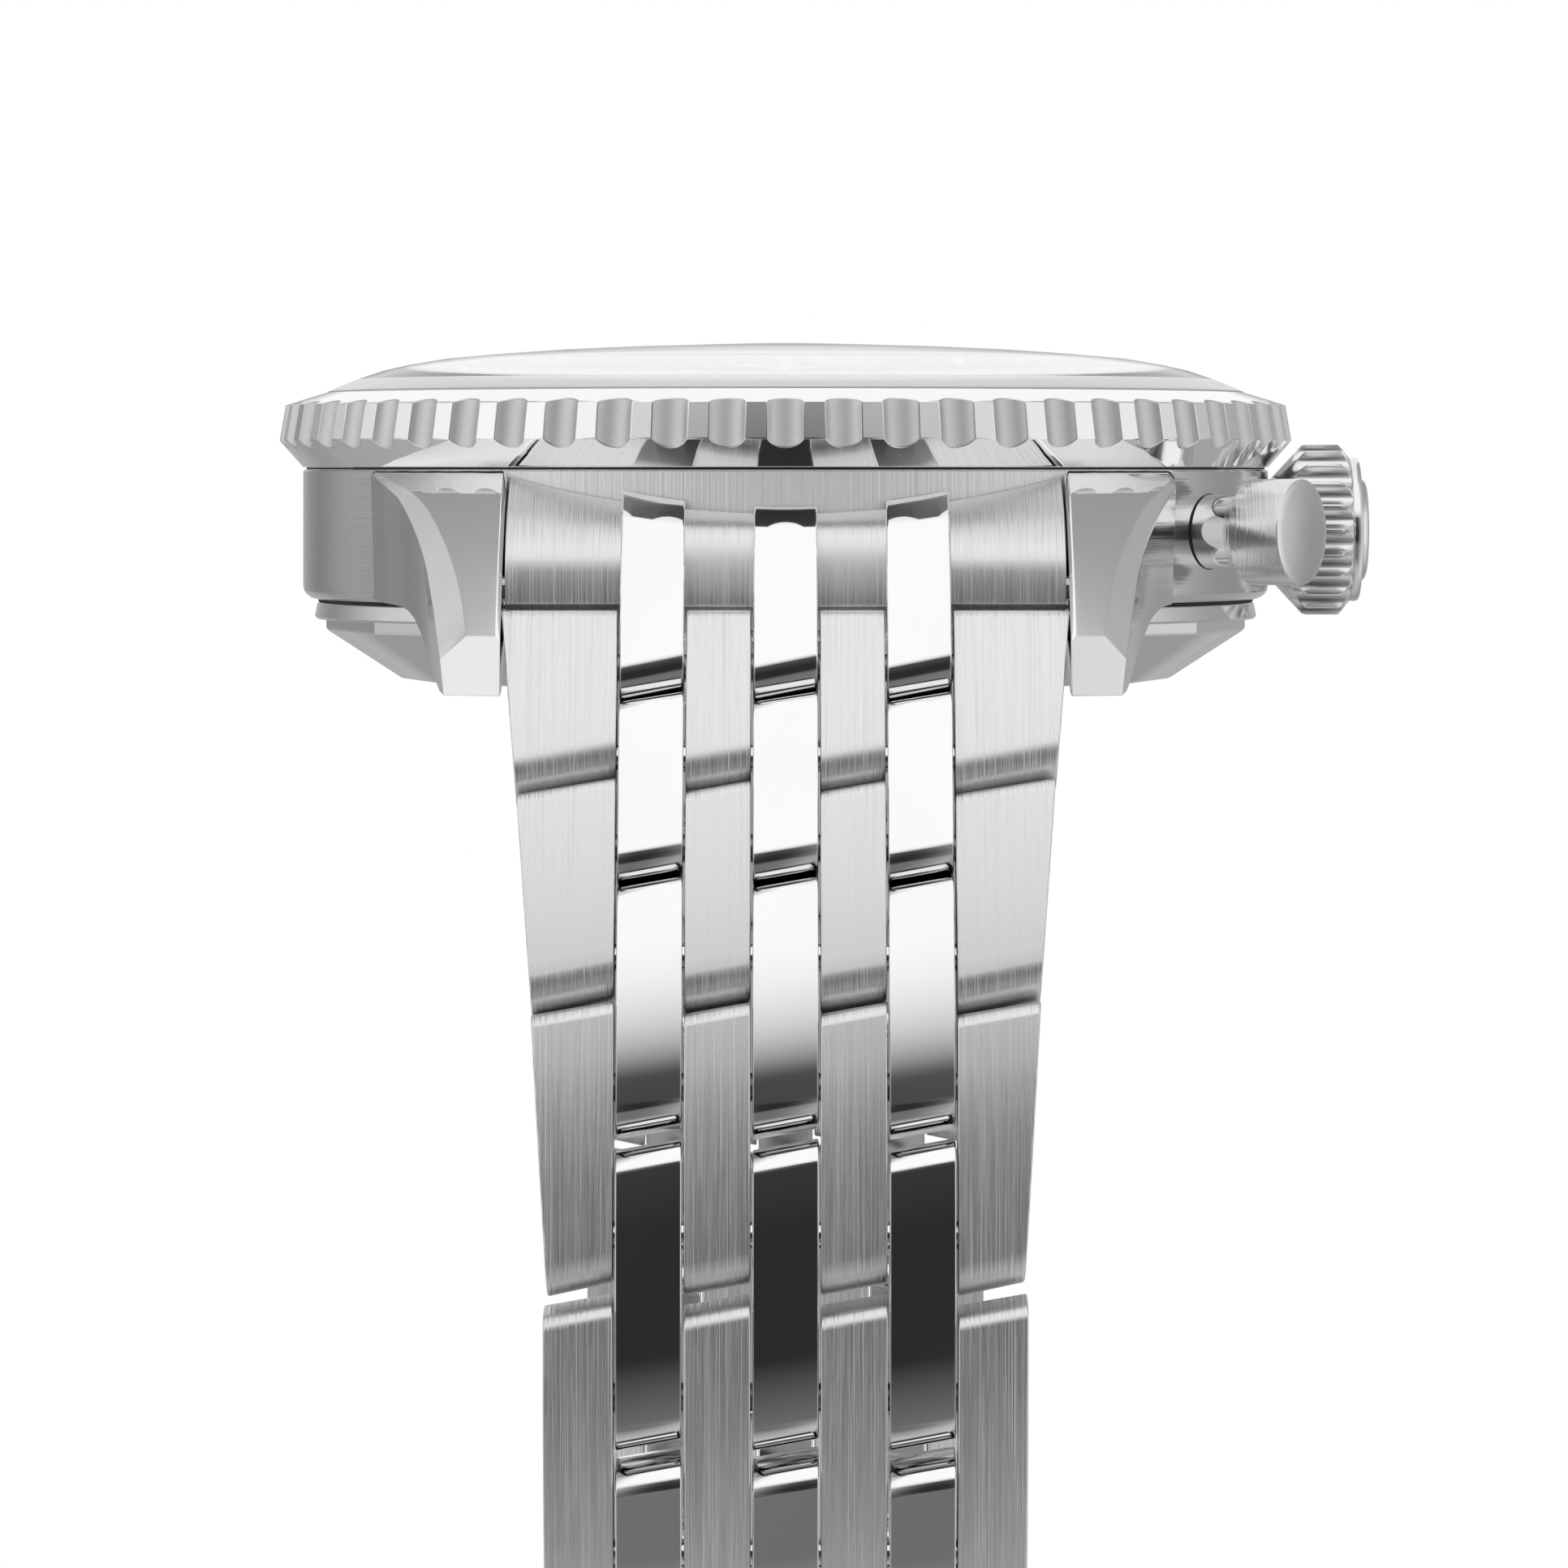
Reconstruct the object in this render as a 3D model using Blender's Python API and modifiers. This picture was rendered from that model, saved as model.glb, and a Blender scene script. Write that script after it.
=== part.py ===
"""Pilot's chronograph wristwatch on a seven-strand steel bracelet.

Metres, +Z through the crystal, +X to the crown (3 o'clock), +Y to 12 o'clock. The origin is the
middle of the case back's flat face, which lies on the wrist.
"""

from math import acos, asin, atan2, cos, degrees, hypot, pi, radians, sin, sqrt

import bmesh
import bpy
from mathutils import Matrix, Vector

MM = 0.001

# All sizes below are in millimetres and turned into metres where a mesh is made.

# Clearances
RUNNING = 0.08  # radial play of a part that turns or slides in another
SEAT = 0.06  # gap between two parts that are fitted face to face
GAP = 0.1  # gap between two parts that pass or face each other
LAP = 0.1  # depth to which two shapes of one part run into each other
OVER = 1.0  # how far a cutter runs past what it cuts
WALL = 0.35  # thinnest wall round a bore
ROUND_STEPS = 40  # flats round the case's turned parts

# Case middle: the driving sizes, then what follows from them
CASE_RADIUS = 20.5
CASE_TOP = 8.9
CASE_BOTTOM = 3.42
CASE_CHAMFER = 0.55
CASE_BORE = CASE_RADIUS - 4.4
NECK_RADIUS = CASE_RADIUS - 2.1
NECK_TOP = CASE_TOP + 1.3
GROOVE_DEPTH = 0.5
GROOVE_BOTTOM = CASE_TOP + 0.45
GROOVE_TOP = NECK_TOP - 0.3
DIAL_SEAT = CASE_TOP + GAP
DIAL_RADIUS = CASE_BORE + 0.9
BACK_RECESS_RADIUS = CASE_RADIUS - 2.9
BACK_RECESS_TOP = CASE_BOTTOM + 1.58

# Case back: a plug under a flange, with a twelve-sided cone that lies on the wrist
BACK_SIDES = 12
BACK_FLAT_RADIUS = CASE_RADIUS - 4.2
BACK_CONE_TOP = 2.11
BACK_CONE_RADIUS = CASE_RADIUS - 0.94
BACK_FLANGE_BOTTOM = 2.73
BACK_FLANGE_RADIUS = CASE_RADIUS - 0.56
BACK_PLUG_TOP = CASE_BOTTOM + 1.18
BACK_HOLLOW_RADIUS = CASE_RADIUS - 4.9
BACK_THICKNESS = 0.9

# Lugs: their inner sides face the bracelet, and their tips lean outwards
LUG_GAP_HALF = 11.25
LUG_TIP = CASE_RADIUS + 3.9
LUG_TIP_WIDTH = 2.35
LUG_TIP_TOP = 2.3
LUG_TIP_BOTTOM = 0.06
LUG_ROOT_X = LUG_GAP_HALF + 5.1
LUG_ROOT_Y = sqrt(CASE_RADIUS**2 - LUG_ROOT_X**2)

# Bezel: it turns on the case's neck and carries the crystal and the scale ring
BEZEL_RADIUS = CASE_RADIUS + 1.0
BEZEL_BOTTOM = CASE_TOP + GAP
BEZEL_WIDEST = BEZEL_BOTTOM + 1.13
BEZEL_LAND_TOP = BEZEL_WIDEST + 1.5
BEZEL_LAND_TOP_RADIUS = BEZEL_RADIUS - 0.26
BEZEL_LIP = BEZEL_LAND_TOP + 0.54
BEZEL_BORE = NECK_RADIUS + 0.2
FLUTES = 58
FLUTE_RADIUS = 0.89
FLUTE_DEPTH = 0.37
FLUTE_SIDES = 10
SCALE_RING_BORE = DIAL_RADIUS - 1.1
SCALE_RING_SLOPE = 0.45

# Crystal: a domed disc
CRYSTAL_RADIUS = BEZEL_RADIUS - 2.1
CRYSTAL_LEDGE = BEZEL_LIP - 0.97
CRYSTAL_EDGE_TOP = BEZEL_LIP - 0.02
CRYSTAL_TOP = BEZEL_LIP + 2.1
CRYSTAL_THICKNESS = 1.3

# Dial and hands, whose lengths are shares of the dial's radius
DIAL_THICKNESS = 0.4
SUBDIAL_RADIUS = 3.9
SUBDIAL_DEPTH = 0.12
SUBDIAL_OFFSET = 7.6
HOUR_HAND_LENGTH = 0.54 * DIAL_RADIUS
MINUTE_HAND_LENGTH = 0.82 * DIAL_RADIUS
CHRONO_HAND_LENGTH = 0.89 * DIAL_RADIUS
SUBHAND_LENGTH = 0.82 * SUBDIAL_RADIUS
HAND_THICKNESS = 0.15
HAND_STEP = 0.35
SUBHAND_GAP = 0.12
HOUR_HAND_TURN = 305.0
MINUTE_HAND_TURN = 50.0
SMALL_SECONDS_TURN = 140.0

# Arbors: of the small hands, and of the three coaxial hands from the inside out
ARBOR_RADIUS = 0.24
CHRONO_ARBOR = 0.25
MINUTE_PIPE = CHRONO_ARBOR + RUNNING + 0.2
HOUR_PIPE = MINUTE_PIPE + RUNNING + 0.22

# Crown and stem
CROWN_RADIUS = 3.65
CROWN_NECK_RADIUS = 2.2
CROWN_START = CASE_RADIUS + 0.2
CROWN_FULL = CROWN_START + 1.3
CROWN_SHOULDER = CROWN_FULL + 1.5
CROWN_RING = CROWN_SHOULDER + 0.5
CROWN_RING_RADIUS = CROWN_RADIUS - 0.71
CROWN_RING_WIDTH = 0.4
CROWN_CAP_RADIUS = 2.2
CROWN_CAP_HEIGHT = 0.35
CROWN_END = CROWN_RING + CROWN_RING_WIDTH + CROWN_CAP_HEIGHT
CROWN_FLUTES = 22
CROWN_FLUTE_RADIUS = 0.42
CROWN_FLUTE_SHIFT = 0.12
STEM_RADIUS = 0.6
STEM_GROOVE_DEPTH = 0.25
STEM_GROOVE_HALF = 0.3
STEM_INNER_END = CASE_BORE - 6.1
STEM_GROOVE = STEM_INNER_END + 1.5
CROWN_TUBE_START = CASE_BORE + 1.0
CROWN_TUBE_END = CROWN_START + 0.6
LEVER_HALF = 0.2
LEVER_LENGTH = 3.4
TUBE_WALL = 0.5
TUBE_SIDES = 16

# Pushers, turned about the watch's axis from the crown
PUSHER_ANGLE = 32.0
PUSHER_HEAD_RADIUS = 2.17
PUSHER_NECK_RADIUS = 1.52
PUSHER_HEAD_START = CASE_RADIUS + 2.05
PUSHER_END = PUSHER_HEAD_START + 2.5
PUSHER_NECK_END = CASE_RADIUS - 1.6
PUSHER_TUBE_START = CASE_BORE + 1.9

# Movement, from the rotor up to the main plate
ROTOR_BOTTOM = BACK_THICKNESS + 0.4
ROTOR_THICKNESS = 0.9
ROTOR_RADIUS = BACK_HOLLOW_RADIUS - 1.4
ROTOR_HUB_RADIUS = 2.4
BRIDGE_BOTTOM = ROTOR_BOTTOM + ROTOR_THICKNESS + 0.5
BRIDGE_THICKNESS = 0.9
BRIDGE_RADIUS = CASE_BORE - 1.5
PLATE_THICKNESS = 1.5
PLATE_TOP = DIAL_SEAT - 0.4
PLATE_BOTTOM = PLATE_TOP - PLATE_THICKNESS
PLATE_RADIUS = CASE_BORE - 0.15
PILLAR_RADIUS = 1.0
PILLAR_ANGLES = (100, 190, 345)
CROWN_Z = PLATE_BOTTOM - 0.75

# Wheel train: teeth of each wheel and of the pinion that it drives, and their module
BARREL_TEETH, CENTRE_PINION_TEETH, BARREL_MODULE = 48, 8, 0.2
CENTRE_TEETH, THIRD_PINION_TEETH, CENTRE_MODULE = 48, 8, 0.17
THIRD_TEETH, FOURTH_PINION_TEETH, THIRD_MODULE = 60, 6, 0.13
FOURTH_TEETH, ESCAPE_PINION_TEETH, FOURTH_MODULE = 48, 6, 0.14
WHEEL_THICKNESS = 0.3
BARREL_TOOTH_HEIGHT = 0.5
BARREL_DRUM_HEIGHT = 1.4
PINION_RISE = 0.4  # how far a pinion stands above its driver's lower face
PINION_DROP = 0.1  # how far it hangs below it
THIRD_LEVEL = BRIDGE_BOTTOM + BRIDGE_THICKNESS + 0.4
CENTRE_LEVEL = THIRD_LEVEL + 0.75
BARREL_LEVEL = CENTRE_LEVEL + 0.75
FOURTH_LEVEL = BARREL_LEVEL + 0.95
ESCAPE_LEVEL = BARREL_LEVEL - 0.1
BALANCE_LEVEL = THIRD_LEVEL + 0.3
FLOOR = BRIDGE_BOTTOM + BRIDGE_THICKNESS + SEAT  # arbors stand between these two heights
CEILING = PLATE_BOTTOM - SEAT
WHEEL_ARBOR = 0.25
BARREL_ANGLE = 75.0
ESCAPE_ANGLE = -60.0
BALANCE_ANGLE = -65.0
ESCAPE_TEETH = 15
ESCAPE_RADIUS = 1.6
PALLET_REACH = ESCAPE_RADIUS + 0.75
BALANCE_RADIUS = 3.9
BALANCE_RIM = 0.6
BALANCE_REACH = ESCAPE_RADIUS + BALANCE_RADIUS + 1.1

# Bracelet: seven strands, wide ones outside
STRAND_PITCH = 2.62
STRAND_GAP = 0.12
STRAND_HALF = (STRAND_PITCH - STRAND_GAP) / 2
END_HALF_WIDTH = LUG_GAP_HALF - 0.25
CLASP_HALF_WIDTH = 9.25
TAPER_ROWS = 5
LINK_THICKNESS = 2.7
LINK_HALF = LINK_THICKNESS / 2
LINK_SLANT = 0.16
PIN_RADIUS = 0.55
PIN_SIDES = 8
END_BAR_RADIUS = PIN_RADIUS + 0.12
ARC_STEPS = 3

# One half of the bracelet: first row's pivot, then hole spacing and lean outwards of each row
END_LINK_AXIS = (CASE_RADIUS + 0.6, 4.2)
END_LINK_STEP = (3.75, 34.0)
LINK_STEPS = (
    (3.9, 27.0), (3.75, 24.0), (4.4, 20.0), (5.1, 16.0), (5.65, 8.5),
    (6.2, 0.0), (6.2, -9.0), (6.2, -19.0), (6.2, -30.0), (6.2, -42.0),
)
CLASP_SPACING = LINK_THICKNESS + 0.6  # room along the clasp that a last row's end is given
SPRING_BAR_SHIFT = 0.55
SPRING_BAR_RADIUS = 0.5
SPRING_BAR_SIDES = 10
SPRING_BAR_REACH = 1.1

# Clasp: all parts follow arcs about one centre, and angles run from the middle towards 12 o'clock
CLASP_END_ANGLE = 40.0
COVER_THICKNESS = 1.0
COVER_HALF_WIDTH = 9.0
COVER_WALL = 0.9
COVER_WALL_HEIGHT = 3.6
COVER_DROP = 0.9  # how far outside the pins' arc the cover's plate starts
COVER_LIP = 0.1  # how far its walls stand out round the plate
BLADE_THICKNESS = 0.8
OUTER_BLADE_HALF_WIDTH = 5.5
OUTER_BLADE_LIFT = 0.5  # depth of its inner face inside the pins' arc
INNER_BLADE_HALF_WIDTH = 4.3
INNER_BLADE_LIFT = 1.1
COVER_HINGE_ANGLE = -29.0
BLADE_HINGE_ANGLE = 27.0
BLADE_HINGE_LIFT = 0.8
KNUCKLE_RADIUS = 0.75
CLASP_PIN_RADIUS = 0.4
BUTTON_LENGTH = 3.0
BUTTON_HEIGHT = 1.5
BUTTON_REACH = 0.75
BUTTON_FLANGE = 0.5
BUTTON_DROP = 0.3  # its upper face lies this far inside the pins' arc

STEEL = (0.62, 0.62, 0.63)


# ---------------------------------------------------------------- tools of the workshop


def clear_scene():
    for obj in list(bpy.data.objects):
        bpy.data.objects.remove(obj)


def material(name, colour, roughness, metallic):
    made = bpy.data.materials.get(name) or bpy.data.materials.new(name)
    made.use_nodes = True
    shader = made.node_tree.nodes["Principled BSDF"]
    shader.inputs["Base Color"].default_value = (*colour, 1)
    shader.inputs["Roughness"].default_value = roughness
    shader.inputs["Metallic"].default_value = metallic
    return made


def evaluated_mesh(obj):
    bpy.context.view_layer.update()
    graph = bpy.context.evaluated_depsgraph_get()
    return bpy.data.meshes.new_from_object(obj.evaluated_get(graph))


def welded(mesh, distance=1e-6):
    shape = bmesh.new()
    shape.from_mesh(mesh)
    bmesh.ops.remove_doubles(shape, verts=shape.verts, dist=distance)
    bmesh.ops.recalc_face_normals(shape, faces=shape.faces)
    shape.to_mesh(mesh)
    shape.free()
    return mesh


def scratch(mesh):
    """A helper object in the cutters' collection, which the model leaves out."""
    helper = bpy.data.objects.new("cutter", mesh)
    CUTTERS.objects.link(helper)
    helper.hide_render = True
    helper.display_type = "WIRE"
    return helper


def turned(profile, steps, axis=Matrix()):
    """A solid of revolution about Z from (radius, height) points, top to bottom on the outer side.

    A profile that starts and ends on the axis is open; any other is closed into a ring.
    """
    mesh = bpy.data.meshes.new("profile")
    count = len(profile)
    on_axis = profile[0][0] == 0 and profile[-1][0] == 0
    edges = [(i, (i + 1) % count) for i in range(count - 1 if on_axis else count)]
    mesh.from_pydata([(r * MM, 0, z * MM) for r, z in profile], edges, [])
    helper = scratch(mesh)
    screw = helper.modifiers.new("turn", "SCREW")
    screw.steps = screw.render_steps = steps
    screw.use_merge_vertices = True
    screw.merge_threshold = 1e-6
    screw.use_smooth_shade = False
    made = evaluated_mesh(helper)
    bpy.data.objects.remove(helper)
    made = welded(made)
    made.transform(axis)
    return made


def plate(outlines, low, high, axis=Matrix()):
    """A flat piece between two heights: the first outline is its edge, the others are holes."""
    curve = bpy.data.curves.new("outline", "CURVE")
    curve.dimensions = "2D"
    curve.fill_mode = "BOTH"
    curve.extrude = (high - low) / 2
    for outline in outlines:
        spline = curve.splines.new("POLY")
        spline.points.add(len(outline) - 1)
        for point, (u, v) in zip(spline.points, outline):
            point.co = (u, v, 0, 1)
        spline.use_cyclic_u = True
    helper = scratch(curve)
    made = evaluated_mesh(helper)
    bpy.data.objects.remove(helper)
    made = welded(made, 1e-3)
    made.transform(Matrix.Translation((0, 0, (low + high) / 2)))
    made.transform(Matrix.Scale(MM, 4))
    made.transform(axis)
    return made


def rod(radius, low, high, sides=24, axis=Matrix(), end_radius=None):
    """A cylinder or cone along Z between two heights."""
    shape = bmesh.new()
    bmesh.ops.create_cone(
        shape,
        cap_ends=True,
        segments=sides,
        radius1=radius * MM,
        radius2=(radius if end_radius is None else end_radius) * MM,
        depth=(high - low) * MM,
        matrix=axis @ Matrix.Translation((0, 0, (low + high) / 2 * MM)),
    )
    made = bpy.data.meshes.new("rod")
    shape.to_mesh(made)
    shape.free()
    return made


def box(low, high, axis=Matrix()):
    size = [(b - a) * MM for a, b in zip(low, high)]
    middle = [(a + b) / 2 * MM for a, b in zip(low, high)]
    shape = bmesh.new()
    matrix = axis @ Matrix.Translation(middle) @ Matrix.Diagonal((*size, 1))
    bmesh.ops.create_cube(shape, size=1, matrix=matrix)
    made = bpy.data.meshes.new("box")
    shape.to_mesh(made)
    shape.free()
    return made


def together(meshes):
    """Several meshes in one, without joining their surfaces."""
    shape = bmesh.new()
    for mesh in meshes:
        shape.from_mesh(mesh)
    made = bpy.data.meshes.new("group")
    shape.to_mesh(made)
    shape.free()
    return made


def combined(base, operation, *others):
    for other in others:
        helper, tool = scratch(base), scratch(other)
        modifier = helper.modifiers.new("combine", "BOOLEAN")
        modifier.operation = operation
        modifier.object = tool
        base = evaluated_mesh(helper)
        bpy.data.objects.remove(helper)
        bpy.data.objects.remove(tool)
    return base


def joined(base, *others):
    return combined(base, "UNION", *others)


def cut(base, *others):
    return combined(base, "DIFFERENCE", *others)


def piece(name, mesh, look, origin=(0, 0, 0), turn=(0, 0, 0), in_place=True):
    """A named part. Its origin goes to the given point; in_place keeps a mesh that is already there."""
    obj = bpy.data.objects.new(name, mesh)
    obj.location = [value * MM for value in origin]
    obj.rotation_euler = turn
    if in_place:
        mesh.transform(obj.matrix_basis.inverted())
    mesh.materials.clear()
    mesh.materials.append(look)
    mesh.shade_smooth()
    mesh.set_sharp_from_angle(angle=radians(35))
    WATCH.objects.link(obj)
    return obj


def along_x(origin=(0, 0, 0)):
    """Z becomes X, and an outline's two directions become Y and Z."""
    place = Matrix.Translation([value * MM for value in origin])
    return place @ Matrix(((0, 0, 1, 0), (1, 0, 0, 0), (0, 1, 0, 0), (0, 0, 0, 1)))


def about_z(angle):
    return Matrix.Rotation(radians(angle), 4, "Z")


def arc(radius, start, end, steps, centre=(0, 0)):
    """Points along an arc, its angles in degrees anticlockwise from the first axis."""
    angles = [radians(start + (end - start) * i / steps) for i in range(steps + 1)]
    return [(centre[0] + radius * cos(a), centre[1] + radius * sin(a)) for a in angles]


def circle(radius, sides, centre=(0, 0)):
    return arc(radius, 0, 360, sides, centre)[:-1]


# ---------------------------------------------------------------- watch head


def outer_profile_of_case():
    return [
        (NECK_RADIUS, NECK_TOP),
        (NECK_RADIUS, GROOVE_TOP),
        (NECK_RADIUS - GROOVE_DEPTH, GROOVE_TOP),
        (NECK_RADIUS - GROOVE_DEPTH, GROOVE_BOTTOM),
        (NECK_RADIUS, GROOVE_BOTTOM),
        (NECK_RADIUS, CASE_TOP),
        (CASE_RADIUS, CASE_TOP),
        (CASE_RADIUS, CASE_BOTTOM + CASE_CHAMFER),
        (CASE_RADIUS - CASE_CHAMFER, CASE_BOTTOM),
        (BACK_RECESS_RADIUS, CASE_BOTTOM),
        (BACK_RECESS_RADIUS, BACK_RECESS_TOP),
        (CASE_BORE, BACK_RECESS_TOP),
        (CASE_BORE, DIAL_SEAT),
        (DIAL_RADIUS + SEAT, DIAL_SEAT),
        (DIAL_RADIUS + SEAT, NECK_TOP),
    ]


def lug():
    """The lug at positive X and Y: a side view across X, cut to its outline in plan."""
    root_bottom = CASE_BOTTOM + SEAT
    side = [
        (LUG_ROOT_Y, CASE_TOP - 0.15),
        (CASE_RADIUS - 4.0, CASE_TOP - 0.5),
        (CASE_RADIUS - 1.5, CASE_TOP - 1.35),
        (CASE_RADIUS + 0.7, CASE_TOP - 2.85),
        (CASE_RADIUS + 2.4, CASE_TOP - 4.7),
        (LUG_TIP - 0.15, LUG_TIP_TOP),
        (LUG_TIP, LUG_TIP_TOP - 0.2),
        (LUG_TIP, LUG_TIP_BOTTOM + 0.15),
        (LUG_TIP - 0.2, LUG_TIP_BOTTOM),
        (LUG_TIP - 2.0, LUG_TIP_BOTTOM + 0.2),
        (CASE_RADIUS - 0.1, LUG_TIP_BOTTOM + 1.65),
        (CASE_RADIUS - 1.9, CASE_BOTTOM - 0.3),
        (CASE_RADIUS - 4.0, root_bottom),
        (LUG_ROOT_Y, root_bottom),
    ]
    plan = [
        (LUG_GAP_HALF, LUG_ROOT_Y + 2.3),
        (LUG_ROOT_X - 0.75, LUG_ROOT_Y),
        (LUG_ROOT_X, LUG_ROOT_Y),
        (LUG_ROOT_X - 1.7, LUG_TIP - 3.6),
        (LUG_GAP_HALF + LUG_TIP_WIDTH, LUG_TIP),
        (LUG_GAP_HALF + LUG_TIP_WIDTH, LUG_TIP + OVER),
        (LUG_GAP_HALF, LUG_TIP + OVER),
    ]
    solid = plate([side], LUG_GAP_HALF - OVER, LUG_ROOT_X + OVER, along_x())
    return combined(solid, "INTERSECT", plate([plan], -OVER, CASE_TOP + OVER))


def spring_bar_centre():
    return (END_LINK_AXIS[0] + SPRING_BAR_SHIFT, END_LINK_AXIS[1])


def pusher_axis(side):
    """Z becomes the line out of the case at 2 o'clock (side 1) or 4 o'clock (side -1)."""
    turn = about_z(side * PUSHER_ANGLE)
    return turn @ Matrix.Translation((0, 0, CROWN_Z * MM)) @ Matrix.Rotation(pi / 2, 4, "Y")


def crown_axis():
    return Matrix.Translation((0, 0, CROWN_Z * MM)) @ Matrix.Rotation(pi / 2, 4, "Y")


def make_case():
    ring = turned(outer_profile_of_case(), ROUND_STEPS)
    quarter = lug()
    bar_y, bar_z = spring_bar_centre()
    hole = rod(
        SPRING_BAR_RADIUS + RUNNING,
        LUG_GAP_HALF - OVER,
        LUG_GAP_HALF + SPRING_BAR_REACH + 2 * SEAT,
        SPRING_BAR_SIDES,
        along_x((0, bar_y, bar_z)),
    )
    quarter = cut(quarter, hole)
    for mirror in (Vector((1, 1, 1)), Vector((-1, 1, 1)), Vector((1, -1, 1)), Vector((-1, -1, 1))):
        copy = quarter.copy()
        copy.transform(Matrix.Diagonal((*mirror, 1)))
        if mirror.x * mirror.y < 0:
            copy.flip_normals()
        ring = joined(ring, copy)
    tube_hole = STEM_RADIUS + RUNNING + TUBE_WALL + SEAT
    pusher_hole = PUSHER_NECK_RADIUS + RUNNING + TUBE_WALL + SEAT
    inside, outside = CASE_BORE - 2 * OVER, CASE_RADIUS + 3 * OVER
    drills = [rod(tube_hole, inside, outside, TUBE_SIDES, crown_axis())]
    for side in (1, -1):
        drills.append(rod(pusher_hole, inside, outside, TUBE_SIDES, pusher_axis(side)))
    piece("case_middle", cut(ring, *drills), BRIGHT_STEEL)
    make_tube("crown_tube", STEM_RADIUS, CROWN_TUBE_START, CROWN_TUBE_END, crown_axis())
    for name, side in (("pusher_tube_2", 1), ("pusher_tube_4", -1)):
        end = CASE_RADIUS - GAP
        make_tube(name, PUSHER_NECK_RADIUS, PUSHER_TUBE_START, end, pusher_axis(side))
    groove = NECK_RADIUS - GROOVE_DEPTH
    seal = [
        (BEZEL_BORE - SEAT, GROOVE_TOP - SEAT),
        (BEZEL_BORE - SEAT, GROOVE_BOTTOM + SEAT),
        (groove + SEAT, GROOVE_BOTTOM + SEAT),
        (groove + SEAT, GROOVE_TOP - SEAT),
    ]
    piece("bezel_gasket", turned(seal, ROUND_STEPS), SEAL)


def make_tube(name, held_radius, low, high, axis):
    inside = held_radius + RUNNING
    outside = inside + TUBE_WALL
    ring = [(outside, high), (outside, low), (inside, low), (inside, high)]
    piece(name, turned(ring, TUBE_SIDES, axis), BRIGHT_STEEL)


def make_back():
    plug = BACK_RECESS_RADIUS - 2 * SEAT
    flange = [
        (0, BACK_PLUG_TOP),
        (plug, BACK_PLUG_TOP),
        (plug, CASE_BOTTOM - GAP),
        (BACK_FLANGE_RADIUS, CASE_BOTTOM - GAP),
        (BACK_FLANGE_RADIUS, BACK_FLANGE_BOTTOM),
        (0, BACK_FLANGE_BOTTOM),
    ]
    top = BACK_FLANGE_BOTTOM + LAP
    body = [
        (0, top),
        (BACK_CONE_RADIUS, top),
        (BACK_CONE_RADIUS, BACK_CONE_TOP),
        (BACK_FLAT_RADIUS, 0),
        (0, 0),
    ]
    hollow = rod(BACK_HOLLOW_RADIUS, BACK_THICKNESS, BACK_PLUG_TOP + OVER, ROUND_STEPS)
    solid = joined(turned(flange, ROUND_STEPS), turned(body, BACK_SIDES))
    piece("caseback", cut(solid, hollow), BRIGHT_STEEL)


def make_bezel():
    profile = [
        (CRYSTAL_RADIUS + SEAT, BEZEL_LIP),
        (BEZEL_LAND_TOP_RADIUS, BEZEL_LAND_TOP),
        (BEZEL_RADIUS, BEZEL_WIDEST),
        (CASE_RADIUS, BEZEL_BOTTOM),
        (BEZEL_BORE, BEZEL_BOTTOM),
        (BEZEL_BORE, CRYSTAL_LEDGE),
        (CRYSTAL_RADIUS + SEAT, CRYSTAL_LEDGE),
    ]
    lean = atan2(BEZEL_RADIUS - BEZEL_LAND_TOP_RADIUS, BEZEL_LAND_TOP - BEZEL_WIDEST)
    middle = (BEZEL_WIDEST + BEZEL_LAND_TOP) / 2
    middle_radius = (BEZEL_RADIUS + BEZEL_LAND_TOP_RADIUS) / 2
    tilt = (
        Matrix.Translation((0, -(middle_radius - FLUTE_DEPTH + FLUTE_RADIUS) * MM, middle * MM))
        @ Matrix.Rotation(-lean, 4, "X")
        @ about_z(180 / FLUTE_SIDES)
    )
    reach = BEZEL_LIP - BEZEL_BOTTOM
    mills = []
    for i in range(FLUTES):
        turn = about_z(360 * i / FLUTES) @ tilt
        mills.append(rod(FLUTE_RADIUS, -reach, reach, FLUTE_SIDES, turn))
    ring = turned(profile, FLUTES, about_z(-90 + 180 / FLUTES))
    piece("bezel", cut(ring, together(mills)), BRIGHT_STEEL)
    scale_ring = [
        (BEZEL_BORE - SEAT, CRYSTAL_LEDGE - GAP),
        (BEZEL_BORE - SEAT, NECK_TOP + GAP + SEAT),
        (DIAL_RADIUS - 2 * GAP, NECK_TOP + GAP + SEAT),
        (SCALE_RING_BORE, dial_top() + SCALE_RING_SLOPE),
        (SCALE_RING_BORE, dial_top() + SCALE_RING_SLOPE + 2 * GAP),
    ]
    piece("inner_scale_ring", turned(scale_ring, ROUND_STEPS), DARK_DIAL)


def dome(edge_radius, edge_height, top, steps):
    """Points of a spherical cap from its top to its edge."""
    rise = top - edge_height
    radius = (edge_radius**2 + rise**2) / (2 * rise)
    reach = acos((radius - rise) / radius)
    points = []
    for i in range(steps + 1):
        angle = reach * i / steps
        points.append((radius * sin(angle), top - radius * (1 - cos(angle))))
    return points


def make_crystal():
    bottom = CRYSTAL_LEDGE + SEAT
    outside = dome(CRYSTAL_RADIUS, CRYSTAL_EDGE_TOP, CRYSTAL_TOP, 5)
    inner_radius = NECK_RADIUS
    inside = dome(inner_radius, bottom, CRYSTAL_TOP - CRYSTAL_THICKNESS, 3)
    profile = outside + [(CRYSTAL_RADIUS, bottom)] + inside[::-1]
    piece("crystal", turned(profile, ROUND_STEPS), GLASS)


def dial_top():
    return DIAL_SEAT + SEAT + DIAL_THICKNESS


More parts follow.
